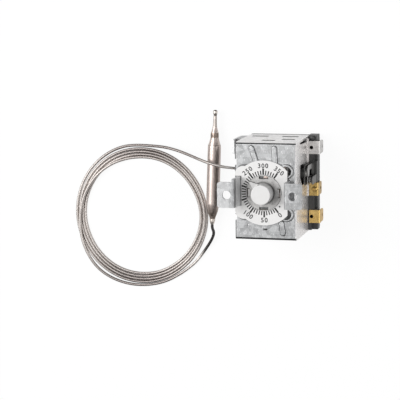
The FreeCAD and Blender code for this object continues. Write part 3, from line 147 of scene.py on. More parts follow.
# Bulb: lower end, tilt from +Y in degrees, and its outline as (distance along it, radius) in millimetres
BULB_END = (-36.1, -23.1, 3.5)
BULB_TILT = 2.3
BULB_OUTLINE = [
    (0.0, 0.0), (0.0, 0.7), (0.4, 0.95), (1.4, 1.38), (2.4, 1.48), (3.2, 1.46), (3.8, 1.55), (6.0, 2.3),
    (8.6, 2.95), (10.6, 3.38), (12.0, 3.45), (26.0, 3.45), (41.2, 3.45), (42.0, 3.2), (43.6, 2.65),
    (45.4, 2.2), (46.0, 2.06), (46.6, 2.1), (47.9, 2.1), (48.4, 1.95), (49.6, 1.6), (51.2, 1.12),
    (53.0, 0.98), (56.6, 0.9), (57.4, 0.78), (57.9, 0.9), (58.4, 1.12), (59.1, 1.2), (59.7, 1.1),
    (60.1, 0.7), (60.2, 0.3), (60.2, 0.0),
]
# Bulb: where it is pressed four-sided, as (distance along it, reach, depth as a share of the radius)
BULB_PRESSES = ((6.5, 2.6, 0.05), (46.5, 1.3, 0.03))
BULB_AROUND = 56

# Bulb: where its tinted and polished zones lie, as distances along it in millimetres
BULB_CONE = (3.1, 8.5)
BULB_SHOULDER = (41.5, 42.0)
BULB_NECK = (45.8, 48.3)
BULB_STEM = 51.2
BULB_PINCH = (57.0, 57.8)
BULB_TIP_RING = (58.2, 59.4)
BULB_TIP = 59.7
BULB_FOOT = 3.0

# Scale: the printed ring of ticks, one for each ten degrees of heat, in millimetres and degrees
SCALE_FACE = span("scale_plate", "Z")[1]
SCALE_ZERO = -53.0
DEGREES_PER_TICK = -7.2
TICKS = 36
TICKS_PER_NUMBER = 5
TICK_INNER = 9.15
TICK_MINOR = 11.2
TICK_MAJOR = 12.2
TICK_LIMIT = 11.15
TICK_MAJOR_HALF = 0.42
TICK_MINOR_HALF = 0.28
PRINT_LEVELS = (SCALE_FACE - 0.02, SCALE_FACE + 0.03)

# Scale: its numbers, with None where the strap's riser covers the place, and their ring, height, width and
# spacing as shares of the type's own, boldness, half depth and level, in millimetres
NUMBERS = ("0", "50", "100", None, None, "250", "300", "350")
NUMBER_RING = 13.55
NUMBER_HEIGHT = 2.4
NUMBER_STRETCH = 0.98
NUMBER_SPACING = 1.2
NUMBER_BOLDNESS = 0.02
NUMBER_HALF_DEPTH = 0.02
NUMBER_LEVEL = SCALE_FACE + 0.005

# Corners of a bar's six faces, its lower four corners counted first
BAR_FACES = ((3, 2, 1, 0), (4, 5, 6, 7), (0, 1, 5, 4), (1, 2, 6, 5), (2, 3, 7, 6), (3, 0, 4, 7))

# Knob: its radius and the height of its foot in millimetres, from the solids
KNOB_RADIUS = -span("setting_knob", "Y")[0]
KNOB_FOOT = span("setting_knob", "Z")[0]

# Terminals: a place along Y below the middle one and one along X left of them all, in millimetres, which
# bound the painted shade on the middle terminal
BELOW_MIDDLE_TAB = -7.0
LEFT_OF_TABS = 14.0

# Floor: half its width and its level in metres, its white's strength, and how much of that white is seen
# directly and in the metal
FLOOR_REACH = 3.0
FLOOR_LEVEL = -0.0002
FLOOR_WHITE = 1.03
FLOOR_SEEN = 0.9
FLOOR_IN_METAL = 0.55

# Surround: its strength, its shades as (level, colour), and how much darker it is above and below the picture
# and at its right
SURROUND_STRENGTH = 0.7
SURROUND_STOPS = ((0.52, (0.10, 0.10, 0.105, 1)), (0.92, (0.92, 0.92, 0.92, 1)))
SURROUND_ENDS = 0.8
SURROUND_RIGHT = 0.42

# Lamps: place, target, width in metres and power in watts
LAMPS = {
    "key": ((-0.55, 0.22, 0.75), (-0.02, 0, 0.02), 0.6, 7.0),
    "fill": ((0.6, -0.05, 0.55), (0, 0, 0.02), 0.6, 2.6),
}


class Value:
    """A shader value that Python's operators work on; each operation adds one Math node."""

    def __init__(self, nodes, socket):
        self.nodes = nodes
        self.socket = socket

    def _math(self, operation, first, second):
        return self.nodes.node("ShaderNodeMath", {"operation": operation}, {0: first, 1: second})

    def __add__(self, other):
        return self._math("ADD", self, other)

    def __sub__(self, other):
        return self._math("SUBTRACT", self, other)

    def __rsub__(self, other):
        return self._math("SUBTRACT", other, self)

    def __neg__(self):
        return self._math("SUBTRACT", 0.0, self)

    def __mul__(self, other):
        return self._math("MULTIPLY", self, other)

    def __truediv__(self, other):
        return self._math("DIVIDE", self, other)

    __radd__ = __add__
    __rmul__ = __mul__

    def greatest(self, other):
        """The greater of two values."""
        return self._math("MAXIMUM", self, other)

    def above(self, level, softness):
        """0 below a level and 1 above it, with a soft step between."""
        inputs = {"Value": self, "From Min": level - softness, "From Max": level + softness}
        return self.nodes.node("ShaderNodeMapRange", {"interpolation_type": "SMOOTHSTEP"}, inputs)

    def below(self, level, softness):
        """1 below a level and 0 above it, with a soft step between."""
        return 1 - self.above(level, softness)

    def within(self, low, high, softness):
        """1 between two levels and 0 outside them, with soft steps between."""
        return self.above(low, softness) - self.above(high, softness)


class Nodes:
    """A tree of shader nodes, which every node is added to by one method."""

    def __init__(self, tree):
        self.tree = tree

    def node(self, kind, settings, sockets, output=0):
        """Adds a node, sets it up and wires its inputs, and gives one of its outputs."""
        made = self.tree.nodes.new(kind)
        for name, value in settings.items():
            if name == "stops":
                for stop, (position, colour) in zip(made.color_ramp.elements, value):
                    stop.position = position
                    stop.color = colour
            else:
                setattr(made, name, value)
        for name, value in sockets.items():
            if isinstance(value, Value):
                self.tree.links.new(value.socket, made.inputs[name])
            else:
                made.inputs[name].default_value = value
        return Value(self, made.outputs[output])

    def wire(self, node, socket, value):
        """Wires a value into a node that the tree came with."""
        self.tree.links.new(value.socket, self.tree.nodes[node].inputs[socket])


class Finish(Nodes):
    """One of the object's finishes: a material and the nodes that feed its main shader."""

    SHADER = "Principled BSDF"

    def __init__(self, name, constants):
        self.material = bpy.data.materials.new(name)
        self.material.use_nodes = True
        super().__init__(self.material.node_tree)
        for socket, value in constants.items():
            self.tree.nodes[self.SHADER].inputs[socket].default_value = value
        self.place = self.node("ShaderNodeTexCoord", {}, {}, "Object")

    def feed(self, socket, value):
        """Wires a value that varies over the surface into the main shader."""
        self.wire(self.SHADER, socket, value)

    def axis(self, name):
        """One object coordinate, in millimetres."""
        return self.node("ShaderNodeSeparateXYZ", {}, {0: self.place}, name) / MM

    def axes(self):
        """The three object coordinates, in millimetres: across, upward and the level over the floor."""
        return [self.axis(name) for name in "XYZ"]

    def noise(self, scale, detail, stretch=(1, 1, 1)):
        """Cloudy noise between 0 and 1, its scale in waves per metre, stretched along the axes."""
        mapped = self.node("ShaderNodeMapping", {}, {"Vector": self.place, "Scale": stretch})
        inputs = {"Vector": mapped, "Scale": scale, "Detail": detail, "Roughness": 0.55}
        return self.node("ShaderNodeTexNoise", {}, inputs)

    def cells(self, scale):
        """A random level for each crystal-like cell, its scale in cells per metre."""
        colour = self.node("ShaderNodeTexVoronoi", {}, {"Vector": self.place, "Scale": scale}, "Color")
        return self.node("ShaderNodeSeparateColor", {}, {0: colour})

    def mix(self, factor, first, second):
        """A colour between two, by a factor from 0 to 1."""
        return self.node("ShaderNodeMix", {"data_type": "RGBA"}, {0: factor, 6: first, 7: second}, 2)

    def relief(self, height, distance, strength):
        """Bends the surface's light by a height map, its depth in metres."""
        inputs = {"Height": height, "Distance": distance, "Strength": strength}
        self.feed("Normal", self.node("ShaderNodeBump", {}, inputs))


def squared(first, second):
    """The square of the distance that two coordinates give."""
    return first * first + second * second


def grey(level, warmth=0.0):
    """A nearly neutral colour: warmth above 0 turns it to brown and below 0 to blue."""
    return (level * (1 + warmth), level, level * (1 - warmth), 1.0)


def sheet_shadows(across, upward, level):
    """Painted shade on the case's sheet, from 0 on its open faces to 1 along its folds' lines and left edge,
    in its slots and holes, on its inside, on faces just above the front plate and low on the top flange.
    """
    on_flange = upward.above(FLANGE_ZONE, 0.1)
    slots = level.below(3.0, 0.6) * 0.9
    for left, right, low, high in FLANGE_SLOTS:
        slots = slots.greatest(across.within(left, right, 0.3) * level.within(low, high, 0.3))
    top_fold = upward.within(CASE_HEAD - 0.85, CASE_HEAD - 0.2, 0.12) * level.above(PLATE_FACE - 0.6, 0.1)
    low_fold = upward.below(FOOT_IN, 0.12) * level.above(PLATE_FACE - 0.75, 0.25)
    left_edge = across.within(CASE_LEFT - 0.4, CASE_LEFT + 0.4, 0.08)
    left_edge = left_edge * level.within(PLATE_FACE - 1.1, PLATE_FACE + 0.7, 0.1)
    inside = across.within(TAB_IN, WALL_IN, 0.05) * upward.within(FOOT_IN, -FOOT_IN, 0.05)
    inside = inside * level.below(PLATE_IN, 0.03)
    stops = squared(across, upward).within(PLATE_STOP_RING[0] ** 2, PLATE_STOP_RING[1] ** 2, 0.5)
    stops = stops * level.below(PLATE_FACE + 0.8, 0.1)
    beside_hole = squared(across - HOLE_PLACE[0], upward.greatest(-upward) - HOLE_PLACE[1])
    holes = beside_hole.below(HOLE_RADIUS ** 2, 0.15)
    hollow = stops.greatest(inside * 0.75).greatest(holes) * level.above(0.5, 0.2)
    flanks = level.within(PLATE_FACE + 0.06, PLATE_FACE + 0.62, 0.06)
    folds = top_fold.greatest(low_fold).greatest(left_edge * 0.8)
    return folds.greatest(slots * on_flange).greatest(hollow).greatest(flanks * 0.6)


def galvanised_sheet():
    """Zinc-coated sheet: faint spangle, rolling streaks and scratches, painted shade at its folds, slots and
    hollows, the wall painted lighter and warmer, painted light at the wall's front and on the top flange, and
    the left riser painted lighter.
    """
    finish = Finish("galvanised_sheet", {"IOR": 1.6})
    across, upward, level = finish.axes()
    spangle = finish.cells(520)
    cloud = finish.noise(90, 4)
    streaks = finish.noise(900, 2, (0.12, 1, 1))
    scuffs = finish.noise(2600, 3, (1, 0.25, 1)).above(0.62, 0.05)
    pits = finish.noise(1900, 3).above(0.63, 0.05)
    wall = across.above(WALL_ZONE, 0.2) * level.below(PLATE_FACE + 0.3, 0.3)
    wall_front = wall * level.above(PLATE_FACE - 7.5, 4.0)
    top_flange = upward.above(FLANGE_ZONE, 0.1) * level.below(PLATE_FACE - 0.3, 0.2)
    left_ear = across.below(CASE_LEFT - 0.4, 0.1) * level.above(PLATE_FACE + 2.5, 0.5)
    left_riser = across.within(CASE_LEFT - 0.5, CASE_LEFT + 5.8, 0.2)
    left_riser = left_riser * level.above(PLATE_FACE + 1.8, 0.1) * level.below(PLATE_FACE + 8.1, 0.3)
    back_tab = across.below(TAB_IN, 0.1) * level.below(PLATE_FACE - 8.5, 1.0)
    tone = spangle * 0.45 + cloud * 0.5 + streaks * 0.3
    colour = finish.mix(tone, grey(0.22, -0.01), grey(0.56, -0.01))
    colour = finish.mix(pits * 0.35, colour, grey(0.22))
    colour = finish.mix(scuffs * 0.45, colour, grey(0.92))
    # Painted light: the wall lighter and warmer than the plate, and lighter still at its front and on the top
    # flange, as light falls on them.
    colour = finish.mix(wall * (0.75 + cloud * 0.25), colour, (0.93, 0.895, 0.88, 1))
    painted_light = (wall_front * 0.6).greatest(top_flange * (0.75 + spangle * 0.25))
    colour = finish.mix(painted_light, colour, (0.97, 0.955, 0.95, 1))
    # Painted light on the left riser, which stands in shade, mottled by the pits and streaks; the left ear
    # and the back tab are made lighter too.
    riser_painted_light = left_riser * (0.9 - pits * 0.5 - streaks * 0.5)
    colour = finish.mix((left_ear * 0.2).greatest(riser_painted_light).greatest(back_tab * 0.7), colour, grey(0.85))
    # Painted shade from sheet_shadows over the colour.
    finish.feed("Base Color", finish.mix(sheet_shadows(across, upward, level) * 0.94, colour, grey(0.02)))
    finish.feed("Metallic", 0.9 - wall.greatest(top_flange).greatest(left_riser * 1.6) * 0.3)
    finish.feed("Roughness", 0.36 + cloud * 0.12 + spangle * 0.06 - scuffs * 0.08 - wall * 0.16)
    finish.relief((spangle * 0.4 + streaks * 0.4 - pits * 0.5) * (1 - wall * 0.8), 0.06 * MM, 0.6)
    return finish.material


def dull_zinc(name, low, high, roughness, shade=0.0):
    """Zinc-plated small parts: cloudy grey with fine blotches, and painted shade under the knob, in the
    disc's stop slots and below the dial's level.
    """
    finish = Finish(name, {"Metallic": 0.85})
    across, upward, level = finish.axes()
    cloud = finish.noise(500, 4)
    blots = finish.noise(1700, 3).above(0.6, 0.08)
    # Painted shade in the disc's stop slots, under the knob and on all below the dial's level, as strong as
    # shade.
    from_spindle = squared(across, upward)
    slots = from_spindle.within(DISC_STOP_RING[0] ** 2, DISC_STOP_RING[1] ** 2, 0.4)
    slots = slots * level.below(SCALE_FACE + 0.04, 0.02)
    under_knob = from_spindle.below(KNOB_RADIUS ** 2 + 8, 6)
    painted_shade = level.below(PLATE_FACE + 0.97, 0.02).greatest(slots * 1.5).greatest(under_knob)
    colour = finish.mix(cloud - blots * 0.25, low, high)
    finish.feed("Base Color", finish.mix(painted_shade * shade, colour, grey(0.05)))
    finish.feed("Roughness", roughness + cloud * 0.15)
    finish.relief(cloud, 0.04 * MM, 0.4)
    return finish.material


def white_enamel():
    """The scale plate's white coating, with faint dirt in its surface."""
    finish = Finish("white_enamel", {"Metallic": 0.0, "IOR": 1.5})
    dirt = finish.noise(260, 5).above(0.62, 0.1)
    fine = finish.noise(4200, 2)
    finish.feed("Base Color", finish.mix(dirt * 0.3, grey(0.76, 0.01), grey(0.58, 0.015)))
    finish.feed("Roughness", 0.38 + fine * 0.15)
    finish.relief(fine, 0.02 * MM, 0.3)
    return finish.material


def white_moulding():
    """The knob's white plastic: fine moulded grain, a slight sheen and a dark line of painted shade at its
    foot.
    """
    finish = Finish("white_moulding", {"Metallic": 0.0, "IOR": 1.49})
    across, upward, level = finish.axes()
    grain = finish.noise(5200, 2)
    cloud = finish.noise(300, 3)
    side = squared(across, upward).above(KNOB_RADIUS ** 2 * 0.9, 1.0)
    # Painted shade: the side darkened low down, where the knob stands on the disc.
    foot = side * level.below(KNOB_FOOT + 0.8, 0.8)
    colour = finish.mix(cloud, grey(0.70, 0.012), grey(0.76, 0.008))
    finish.feed("Base Color", finish.mix(foot * 0.7, colour, grey(0.16)))
    finish.feed("Roughness", 0.42 + grain * 0.16)
    finish.relief(grain, 0.03 * MM, 0.35)
    return finish.material


def black_print():
    """Printing ink on the scale, slightly worn."""
    finish = Finish("black_print", {"Metallic": 0.0})
    wear = finish.noise(3800, 3)
    finish.feed("Base Color", finish.mix(wear, grey(0.004), grey(0.02)))
    finish.feed("Roughness", 0.5 + wear * 0.2)
    return finish.material


def black_moulding():
    """The switch base's phenolic moulding: near black with pale filler specks."""
    finish = Finish("black_moulding", {"Metallic": 0.0, "IOR": 1.55})
    specks = finish.noise(3000, 3).above(0.68, 0.03)
    cloud = finish.noise(420, 4)
    dark = finish.mix(cloud, grey(0.02, 0.02), grey(0.07, 0.02))
    finish.feed("Base Color", finish.mix(specks * 0.5, dark, grey(0.22)))
    finish.feed("Roughness", 0.34 + cloud * 0.25)
    finish.relief(cloud, 0.08 * MM, 0.5)
    return finish.material


def sheet_brass():
    """Sheet brass: warm patches, fine rolling lines and small dull spots, and painted shade, mottled by the
    spots, on the middle terminal.
    """
    finish = Finish("sheet_brass", {"Metallic": 1.0})
    cloud = finish.noise(380, 4)
    lines = finish.noise(2200, 2, (1, 0.1, 1))
    spots = finish.noise(1500, 3).above(0.64, 0.06)
    # Painted shade on the middle terminal.
    middle_tab_shade = finish.axis("Y").above(BELOW_MIDDLE_TAB, 1.0) * finish.axis("X").above(LEFT_OF_TABS, 0.5)
    colour = finish.mix(cloud - spots * 0.3, (0.58, 0.36, 0.10, 1), (0.90, 0.66, 0.27, 1))
    finish.feed("Base Color", finish.mix(middle_tab_shade * (0.25 + spots * 0.5), colour, (0.13, 0.08, 0.03, 1)))
    finish.feed("Roughness", 0.27 + lines * 0.16 + spots * 0.15)
    finish.relief(lines, 0.02 * MM, 0.3)
    return finish.material


def turned_steel(name, low, high, roughness, stretch):
    """Steel with fine tool or drawing marks along one direction."""
    finish = Finish(name, {"Metallic": 1.0})
    marks = finish.noise(2600, 3, stretch)
    cloud = finish.noise(240, 3)
    finish.feed("Base Color", finish.mix(marks * 0.5 + cloud * 0.5, low, high))
    finish.feed("Roughness", roughness + marks * 0.14)
    finish.relief(marks, 0.02 * MM, 0.3)
    return finish.material


def heat_tinted_steel():
    """The bulb's stainless steel: straw and violet heat tint, dark at the swaged ends, drawn lengthwise."""
    finish = Finish("heat_tinted_steel", {"Metallic": 1.0})
    along = finish.axis("Y") - BULB_END[1]
    drawn = finish.noise(2400, 3, (1, 0.05, 1))
    cloud = finish.noise(110, 3)
    stain = finish.noise(700, 4).above(0.58, 0.1)
    cone = along.above(BULB_CONE[0], 0.25) - along.above(BULB_CONE[1], 4.0)
    neck = along.within(*BULB_NECK, 0.25).greatest(along.within(*BULB_SHOULDER, 0.3) * 0.6)
    stem = along.above(BULB_STEM, 0.4)
    pinch = along.within(*BULB_PINCH, 0.15).greatest(along.above(BULB_TIP, 0.2))
    polished = along.below(BULB_FOOT, 0.2).greatest(along.within(*BULB_TIP_RING, 0.2))
    colour = finish.mix(drawn * 0.55 + cloud * 0.6, (0.46, 0.385, 0.345, 1), (0.80, 0.70, 0.655, 1))
    colour = finish.mix(cone * (0.85 - stain * 0.35), colour, (0.15, 0.115, 0.085, 1))
    colour = finish.mix(neck * 0.7, colour, (0.20, 0.145, 0.11, 1))
    colour = finish.mix(stem * 0.6, colour, (0.42, 0.40, 0.37, 1))
    colour = finish.mix(pinch * 0.7, colour, (0.05, 0.045, 0.04, 1))
    finish.feed("Base Color", finish.mix(polished * 0.8, colour, (0.86, 0.80, 0.73, 1)))
    finish.feed("Roughness", 0.38 + drawn * 0.1 + cone * stain * 0.2)
    finish.relief(drawn, 0.03 * MM, 0.35)
    return finish.material


def capillary_steel():
    """The capillary's drawn stainless tube: soft grey with warm patches, painted shade at the coil's top and
    bottom and near black on the tail at the bulb, and painted light on the lead at the case.

    The tail is what lies near its end, outside the coil's ellipse and below the bulb.
    """
    finish = Finish("capillary_steel", {"Metallic": 1.0})
    across, upward, _ = finish.axes()
    cloud = finish.noise(60, 3)
    fine = finish.noise(240, 2)
    from_end = squared((across - TAIL_END[0]) / TAIL_REACH, (upward - TAIL_END[1]) / TAIL_REACH)
    round_coil = (across - COIL_CENTRE[0]) / COIL_HALF[0]
    along_coil = (upward - COIL_CENTRE[1]) / COIL_HALF[1]
    outside = squared(round_coil, along_coil).above(TAIL_SHARE, 0.015)
    # Painted shade: the tail near black.
    tail_painted_shade = from_end.below(0.7, 0.4) * outside * upward.below(TAIL_TOP, 1.0)
    # Painted shade: the coil darker at its top and bottom.
    coil_ends_painted_shade = (along_coil * along_coil).above(0.62, 0.35)
    # Painted light: the lead lighter at its end by the case.
    lead_painted_light = across.above(BRIGHT_LEFT, 3.0) * upward.above(BRIGHT_LOW, 2.0)
    colour = finish.mix(cloud, (0.46, 0.415, 0.39, 1), (0.70, 0.66, 0.63, 1))
    colour = finish.mix(coil_ends_painted_shade * 0.8, colour, (0.22, 0.19, 0.18, 1))
    colour = finish.mix(lead_painted_light, colour, (0.95, 0.92, 0.90, 1))
    finish.feed("Base Color", finish.mix(tail_painted_shade * 0.92, colour, grey(0.03)))
    finish.feed("Roughness", 0.46 + fine * 0.08)
    return finish.material


def mesh_piece(name, points, faces, finish, body):
    """A new piece from points in metres and faces, riding on a body."""
    mesh = bpy.data.meshes.new(name)
    mesh.from_pydata([tuple(point) for point in points], [], [tuple(face) for face in faces])
    mesh.update()
    mesh.materials.append(finish)
    piece = bpy.data.objects.new(name, mesh)
    bpy.context.collection.objects.link(piece)
    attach(piece, body)
    return piece


def smooth(piece, angle=40):
    """Smooth shading except across edges sharper than an angle in degrees."""
    piece.data.shade_smooth()
    piece.data.set_sharp_from_angle(angle=math.radians(angle))


def ring_faces(rings, around):
    """Faces between successive closed rings of points, seen from outside.

    Face (r, s) joins points s and s + 1 of ring r with the same two of ring r + 1, and the last point is
    followed by the first.
    """
    ring, step = np.meshgrid(np.arange(rings - 1), np.arange(around), indexing="ij")
    after = (step + 1) % around
    quads = np.stack([ring * around + step, ring * around + after, (ring + 1) * around + after,
                      (ring + 1) * around + step], axis=-1)
    return quads.reshape(-1, 4).tolist()


def spun(profile, around, shape):
    """A closed surface of revolution about Z.

    The point at angle a for the profile's (distance, radius) pair lies at radius * (cos a, sin a) and height
    distance, and shape(distance, angle) scales the radius. Both ends are closed by one face each.
    """
    along = profile[:, 0:1]
    angle = np.linspace(0, 2 * np.pi, around, endpoint=False)[None, :]
    reach = profile[:, 1:2] * shape(along, angle)
    points = np.stack([reach * np.cos(angle), reach * np.sin(angle), along + 0 * angle], axis=-1)
    last = (len(profile) - 1) * around
    ends = [list(range(around))[::-1], list(range(last, last + around))]
    return points.reshape(-1, 3), ring_faces(len(profile), around) + ends


def rounded(profile, steps):
    """The profile's corners cut by Chaikin's rule: each run keeps its middle half, repeated."""
    line = np.array(profile, dtype=float)
    for _ in range(steps):
        near = 0.75 * line[:-1] + 0.25 * line[1:]
        far = 0.25 * line[:-1] + 0.75 * line[1:]
        line = np.concatenate([line[:1], np.stack([near, far], axis=1).reshape(-1, 2), line[-1:]])
    return line


def camera():
    """The camera at the picture's own place and angle."""
    lens = bpy.data.cameras.new("picture_camera")
    lens.sensor_width = 36.0
    lens.lens = CAMERA_LENS
    lens.clip_start = 0.01
    lens.clip_end = 20.0
    view = bpy.data.objects.new("picture_camera", lens)
    bpy.context.collection.objects.link(view)
    turn = Matrix((CAMERA_RIGHT, CAMERA_UP, CAMERA_BACK)).transposed().to_4x4()
    view.matrix_world = Matrix.Translation(Vector(CAMERA_PLACE)) @ turn
    bpy.context.scene.camera = view


def coil_points():
    """The coil's turns: an ellipse whose half axes shrink by the winding's inset, at the winding's height."""
    start = COIL_STATIONS[0][0]
    end = COIL_STATIONS[-1][0]
    count = round((end - start) / 360 * COIL_POINTS_PER_TURN) + 1
    angle, inset, height = np.array(COIL_STATIONS, dtype=float).T
    points = []
    for turn in np.linspace(start, end, count):
        inside = np.interp(turn, angle, inset)
        points.append((COIL_CENTRE[0] + (COIL_HALF[0] - inside) * math.cos(math.radians(turn)),
                       COIL_CENTRE[1] + (COIL_HALF[1] - inside) * math.sin(math.radians(turn)),
                       np.interp(turn, angle, height)))
    return points


def capillary(finish):
    """The capillary from the sleeve over the bulb, round the coil and into the bulb, as one smooth line."""
    route = LEAD + coil_points() + TAIL
    curve = bpy.data.curves.new("capillary", "CURVE")
    curve.dimensions = "3D"
    curve.resolution_u = 10
    curve.bevel_depth = TUBE_RADIUS
    curve.bevel_resolution = 5
    curve.use_fill_caps = True
    spline = curve.splines.new("NURBS")
    spline.points.add(len(route) - 1)
    for point, place in zip(spline.points, route):
        point.co = (place[0] * MM, place[1] * MM, place[2] * MM, 1.0)
    spline.order_u = 3
    spline.use_endpoint_u = True
    spline.use_smooth = True
    curve.materials.append(finish)
    piece = bpy.data.objects.new("capillary", curve)
    bpy.context.collection.objects.link(piece)
    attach(piece, "case")
    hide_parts("capillary_lead", "capillary_coil", "capillary_tail")
    return piece


def bulb(finish):
    """The sensor bulb: a drawn tube swaged at both ends and pressed slightly four-sided there.

    The radius at angle a is scaled by 1 + depth * cos 4a, and the depth falls off from each press as a bell
    curve. The bulb's length leans from +Y by the tilt.
    """
    def pressed(along, angle):
        depth = sum(share * np.exp(-((along - place) / reach) ** 2) for place, reach, share in BULB_PRESSES)
        return 1 + depth * np.cos(4 * angle)

    points, faces = spun(rounded(BULB_OUTLINE, 3), BULB_AROUND, pressed)
    lean = math.radians(BULB_TILT)
    upward = np.array([0, 0, 1])
    across = np.array([math.cos(lean), -math.sin(lean), 0])
    along_bulb = np.array([math.sin(lean), math.cos(lean), 0])
    placed = (np.array(BULB_END) + points @ np.array([upward, across, along_bulb])) * MM
    piece = mesh_piece("bulb_shell", placed, faces, finish, "case")
    smooth(piece, 60)
    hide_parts("sensor_bulb")
    return piece


def tick_bars():
    """The ring of ticks: a bar for each tick, longer and wider at each numbered step.

    Along its own ray from the spindle a bar runs from the inner ring to its own outer one, or to the scale's
    left edge if that comes first, and across the ray it reaches half its width to each side.
    """
    tick = np.arange(TICKS)
    numbered = tick % TICKS_PER_NUMBER == 0
    angle = np.radians(SCALE_ZERO + DEGREES_PER_TICK * tick)
    ray = np.stack([np.cos(angle), np.sin(angle)], axis=-1)[:, None, :]
    aside = np.stack([-np.sin(angle), np.cos(angle)], axis=-1)[:, None, :]
    outer = np.where(numbered, TICK_MAJOR, TICK_MINOR)
    outer = np.minimum(outer, TICK_LIMIT / np.maximum(-np.cos(angle), 0.01))
    inner = np.full(TICKS, TICK_INNER)
    half = np.where(numbered, TICK_MAJOR_HALF, TICK_MINOR_HALF)
    reach = np.stack([inner, outer, outer, inner], axis=-1)[:, :, None]
    width = np.stack([-half, -half, half, half], axis=-1)[:, :, None]
    flat = np.tile(ray * reach + aside * width, (1, 2, 1))
    level = np.broadcast_to(np.repeat(PRINT_LEVELS, 4)[None, :, None], (TICKS, 8, 1))
    points = np.concatenate([flat, level], axis=-1).reshape(-1, 3)
    faces = (np.array(BAR_FACES)[None] + 8 * tick[:, None, None]).reshape(-1, 4)
    return points * MM, faces.tolist()


def number_mesh(text, angle):
    """A number's strokes as a thin solid, its foot inward in the dial's upper half and outward in its lower.

    Its digits are centred, scaled to the print's height, turned by the ray's angle less or plus 90 degrees
    and carried out along the ray to the numbers' ring.
    """
    curve = bpy.data.curves.new("number_" + text, "FONT")
    curve.body = text
    curve.align_x = "CENTER"
    curve.align_y = "CENTER"
    curve.extrude = NUMBER_HALF_DEPTH
    curve.offset = NUMBER_BOLDNESS
    curve.space_character = NUMBER_SPACING
    curve.resolution_u = 3
    holder = bpy.data.objects.new("number_" + text, curve)
    bpy.context.collection.objects.link(holder)
    bpy.context.view_layer.update()
    shape = bpy.data.meshes.new_from_object(holder)
    bpy.data.objects.remove(holder)
    points = np.empty(len(shape.vertices) * 3)
    shape.vertices.foreach_get("co", points)
    points = points.reshape(-1, 3)
    faces = [list(face.vertices) for face in shape.polygons]
    bpy.data.meshes.remove(shape)
    height = np.ptp(points[:, 1])
    points[:, :2] -= (points[:, :2].max(axis=0) + points[:, :2].min(axis=0)) / 2
    points[:, :2] *= np.array([NUMBER_STRETCH, 1]) * NUMBER_HEIGHT / height
    ray = math.radians(angle)
    turn = ray - math.pi / 2 if math.sin(ray) > 0 else ray + math.pi / 2
    axes = np.array([[math.cos(turn), math.sin(turn)], [-math.sin(turn), math.cos(turn)]])
    flat = points[:, :2] @ axes + NUMBER_RING * np.array([math.cos(ray), math.sin(ray)])
    return np.hstack([flat, NUMBER_LEVEL + points[:, 2:3]]) * MM, faces


def scale_print(finish):
    """All the black print of the scale as one thin piece."""
    points, faces = tick_bars()
    for index, text in enumerate(NUMBERS):
        if text:
            angle = SCALE_ZERO + DEGREES_PER_TICK * TICKS_PER_NUMBER * index
            more, their_faces = number_mesh(text, angle)
            faces += [[len(points) + corner for corner in face] for face in their_faces]
            points = np.vstack([points, more])
    return mesh_piece("scale_print", points, faces, finish, "case")


def spring_half(name, upper, finish):
    """Half of the range spring, whose lower end sits on one body and upper end on another, cut at its middle
    and closed there: the upper half if upper is set, else the lower.
    """
    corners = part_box("range_spring")
    foot, top = corners[0][2], corners[1][2]
    middle = (foot + top) / 2
    shell = bmesh.new()
    shell.from_mesh(frame["nodes"]["range_spring"].data)
    bmesh.ops.remove_doubles(shell, verts=shell.verts, dist=1e-6)
    everything = shell.verts[:] + shell.edges[:] + shell.faces[:]
    bmesh.ops.bisect_plane(shell, geom=everything, plane_co=(0, 0, middle), plane_no=(0, 0, 1),
                           clear_inner=upper, clear_outer=not upper)
    bmesh.ops.holes_fill(shell, edges=[edge for edge in shell.edges if edge.is_boundary])
    mesh = bpy.data.meshes.new(name)
    shell.to_mesh(mesh)
    shell.free()
    mesh.materials.clear()
    mesh.materials.append(finish)
    piece = bpy.data.objects.new(name, mesh)
    bpy.context.collection.objects.link(piece)
    smooth(piece)
    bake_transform(piece)
    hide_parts("range_spring")


def dress_solids(finishes):
    """Gives each solid's object the finish of its record slot."""
    for entry in frame["record"]["subparts"]:
        solid = frame["nodes"][entry["node"]]
        finish = finishes[entry["material_slot"]]
        if not solid.material_slots:
            solid.data.materials.append(finish)
        for holder in solid.material_slots:
            holder.material = finish


def floor():
    """The plain pale floor, which shows as white to the camera and in the metal and keeps the shadows."""
    signs = ((-1, -1), (1, -1), (1, 1), (-1, 1))
    corners = [(x * FLOOR_REACH, y * FLOOR_REACH, FLOOR_LEVEL) for x, y in signs]
    mesh = bpy.data.meshes.new("floor")
    mesh.from_pydata(corners, [], [(0, 1, 2, 3)])
    piece = bpy.data.objects.new("floor", mesh)
    bpy.context.collection.objects.link(piece)
    finish = Finish("floor", {"Base Color": (0.72, 0.72, 0.72, 1), "Roughness": 0.9})
    seen, glossy, through = [finish.node("ShaderNodeLightPath", {}, {}, "Is %s Ray" % ray)
                             for ray in ("Camera", "Glossy", "Transmission")]
    share = (seen.greatest(through) * FLOOR_SEEN).greatest(glossy * FLOOR_IN_METAL)
    plain = Value(finish, finish.tree.nodes[finish.SHADER].outputs["BSDF"])
    white = finish.node("ShaderNodeEmission", {}, {"Color": (1, 1, 1, 1), "Strength": FLOOR_WHITE})
    blend = finish.node("ShaderNodeMixShader", {}, {0: share, 1: plain, 2: white})
    finish.wire("Material Output", "Surface", blend)
    mesh.materials.append(finish.material)


def lamp(name, place, target, size, power):
    """A square soft lamp that faces a target."""
    light = bpy.data.lights.new(name, "AREA")
    light.shape = "SQUARE"
    light.size = size
    light.energy = power
    holder = bpy.data.objects.new(name, light)
    bpy.context.collection.objects.link(holder)
    way = Vector(place) - Vector(target)
    holder.matrix_world = Matrix.Translation(Vector(place)) @ way.to_track_quat("Z", "Y").to_matrix().to_4x4()


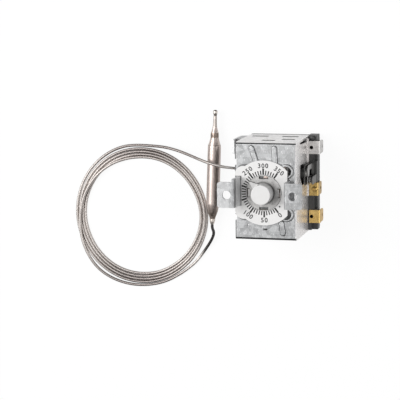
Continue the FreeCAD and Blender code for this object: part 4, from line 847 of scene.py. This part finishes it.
def surround():
    """The world around the object: bright overhead, darker low down, towards both ends of Y and towards +X.

    Its shade goes by half of 1 + z, less y squared and the square of x where x is above 0, each times its own
    share, for the direction (x, y, z) looked along.
    """
    world = bpy.data.worlds.new("surround")
    bpy.context.scene.world = world
    world.use_nodes = True
    nodes = Nodes(world.node_tree)
    direction = nodes.node("ShaderNodeTexCoord", {}, {}, "Generated")
    x, y, z = [nodes.node("ShaderNodeSeparateXYZ", {}, {0: direction}, name) for name in "XYZ"]
    right = x.greatest(0.0)
    level = z * 0.5 + 0.5 - y * y * SURROUND_ENDS - right * right * SURROUND_RIGHT
    nodes.wire("Background", "Color", nodes.node("ShaderNodeValToRGB", {"stops": SURROUND_STOPS}, {0: level}))
    nodes.tree.nodes["Background"].inputs["Strength"].default_value = SURROUND_STRENGTH


bpy.context.scene.view_settings.view_transform = "Standard"
camera()
FINISHES = {
    "galvanised": galvanised_sheet(),
    "scale_white": white_enamel(),
    "zinc_grey": dull_zinc("dull_zinc", grey(0.24, 0.02), grey(0.64, 0.015), 0.38, 0.65),
    "brass": sheet_brass(),
    "steel": turned_steel("turned_steel", grey(0.38), grey(0.68), 0.26, (1, 1, 0.1)),
    "stainless": heat_tinted_steel(),
    "capillary_steel": capillary_steel(),
    "black_moulding": black_moulding(),
    "dark_steel": dull_zinc("dark_steel", grey(0.03), grey(0.14), 0.42),
    "silver_plate": dull_zinc("silver_plate", grey(0.56, 0.03), grey(0.84, 0.02), 0.3),
    "spring_steel": turned_steel("spring_steel", grey(0.30, 0.02), grey(0.58, 0.02), 0.24, (1, 1, 1)),
    "knob_white": white_moulding(),
    "ceramic": dull_zinc("unglazed_ceramic", grey(0.60, 0.04), grey(0.80, 0.03), 0.6),
}
dress_solids(FINISHES)
bulb_piece = bulb(FINISHES["stainless"])
tube = capillary(FINISHES["capillary_steel"])
spring_half("range_spring_foot", False, FINISHES["spring_steel"])
spring_half("range_spring_top", True, FINISHES["spring_steel"])
scale_print(black_print())
floor()
surround()
for lamp_name, lamp_facts in LAMPS.items():
    lamp(lamp_name, *lamp_facts)
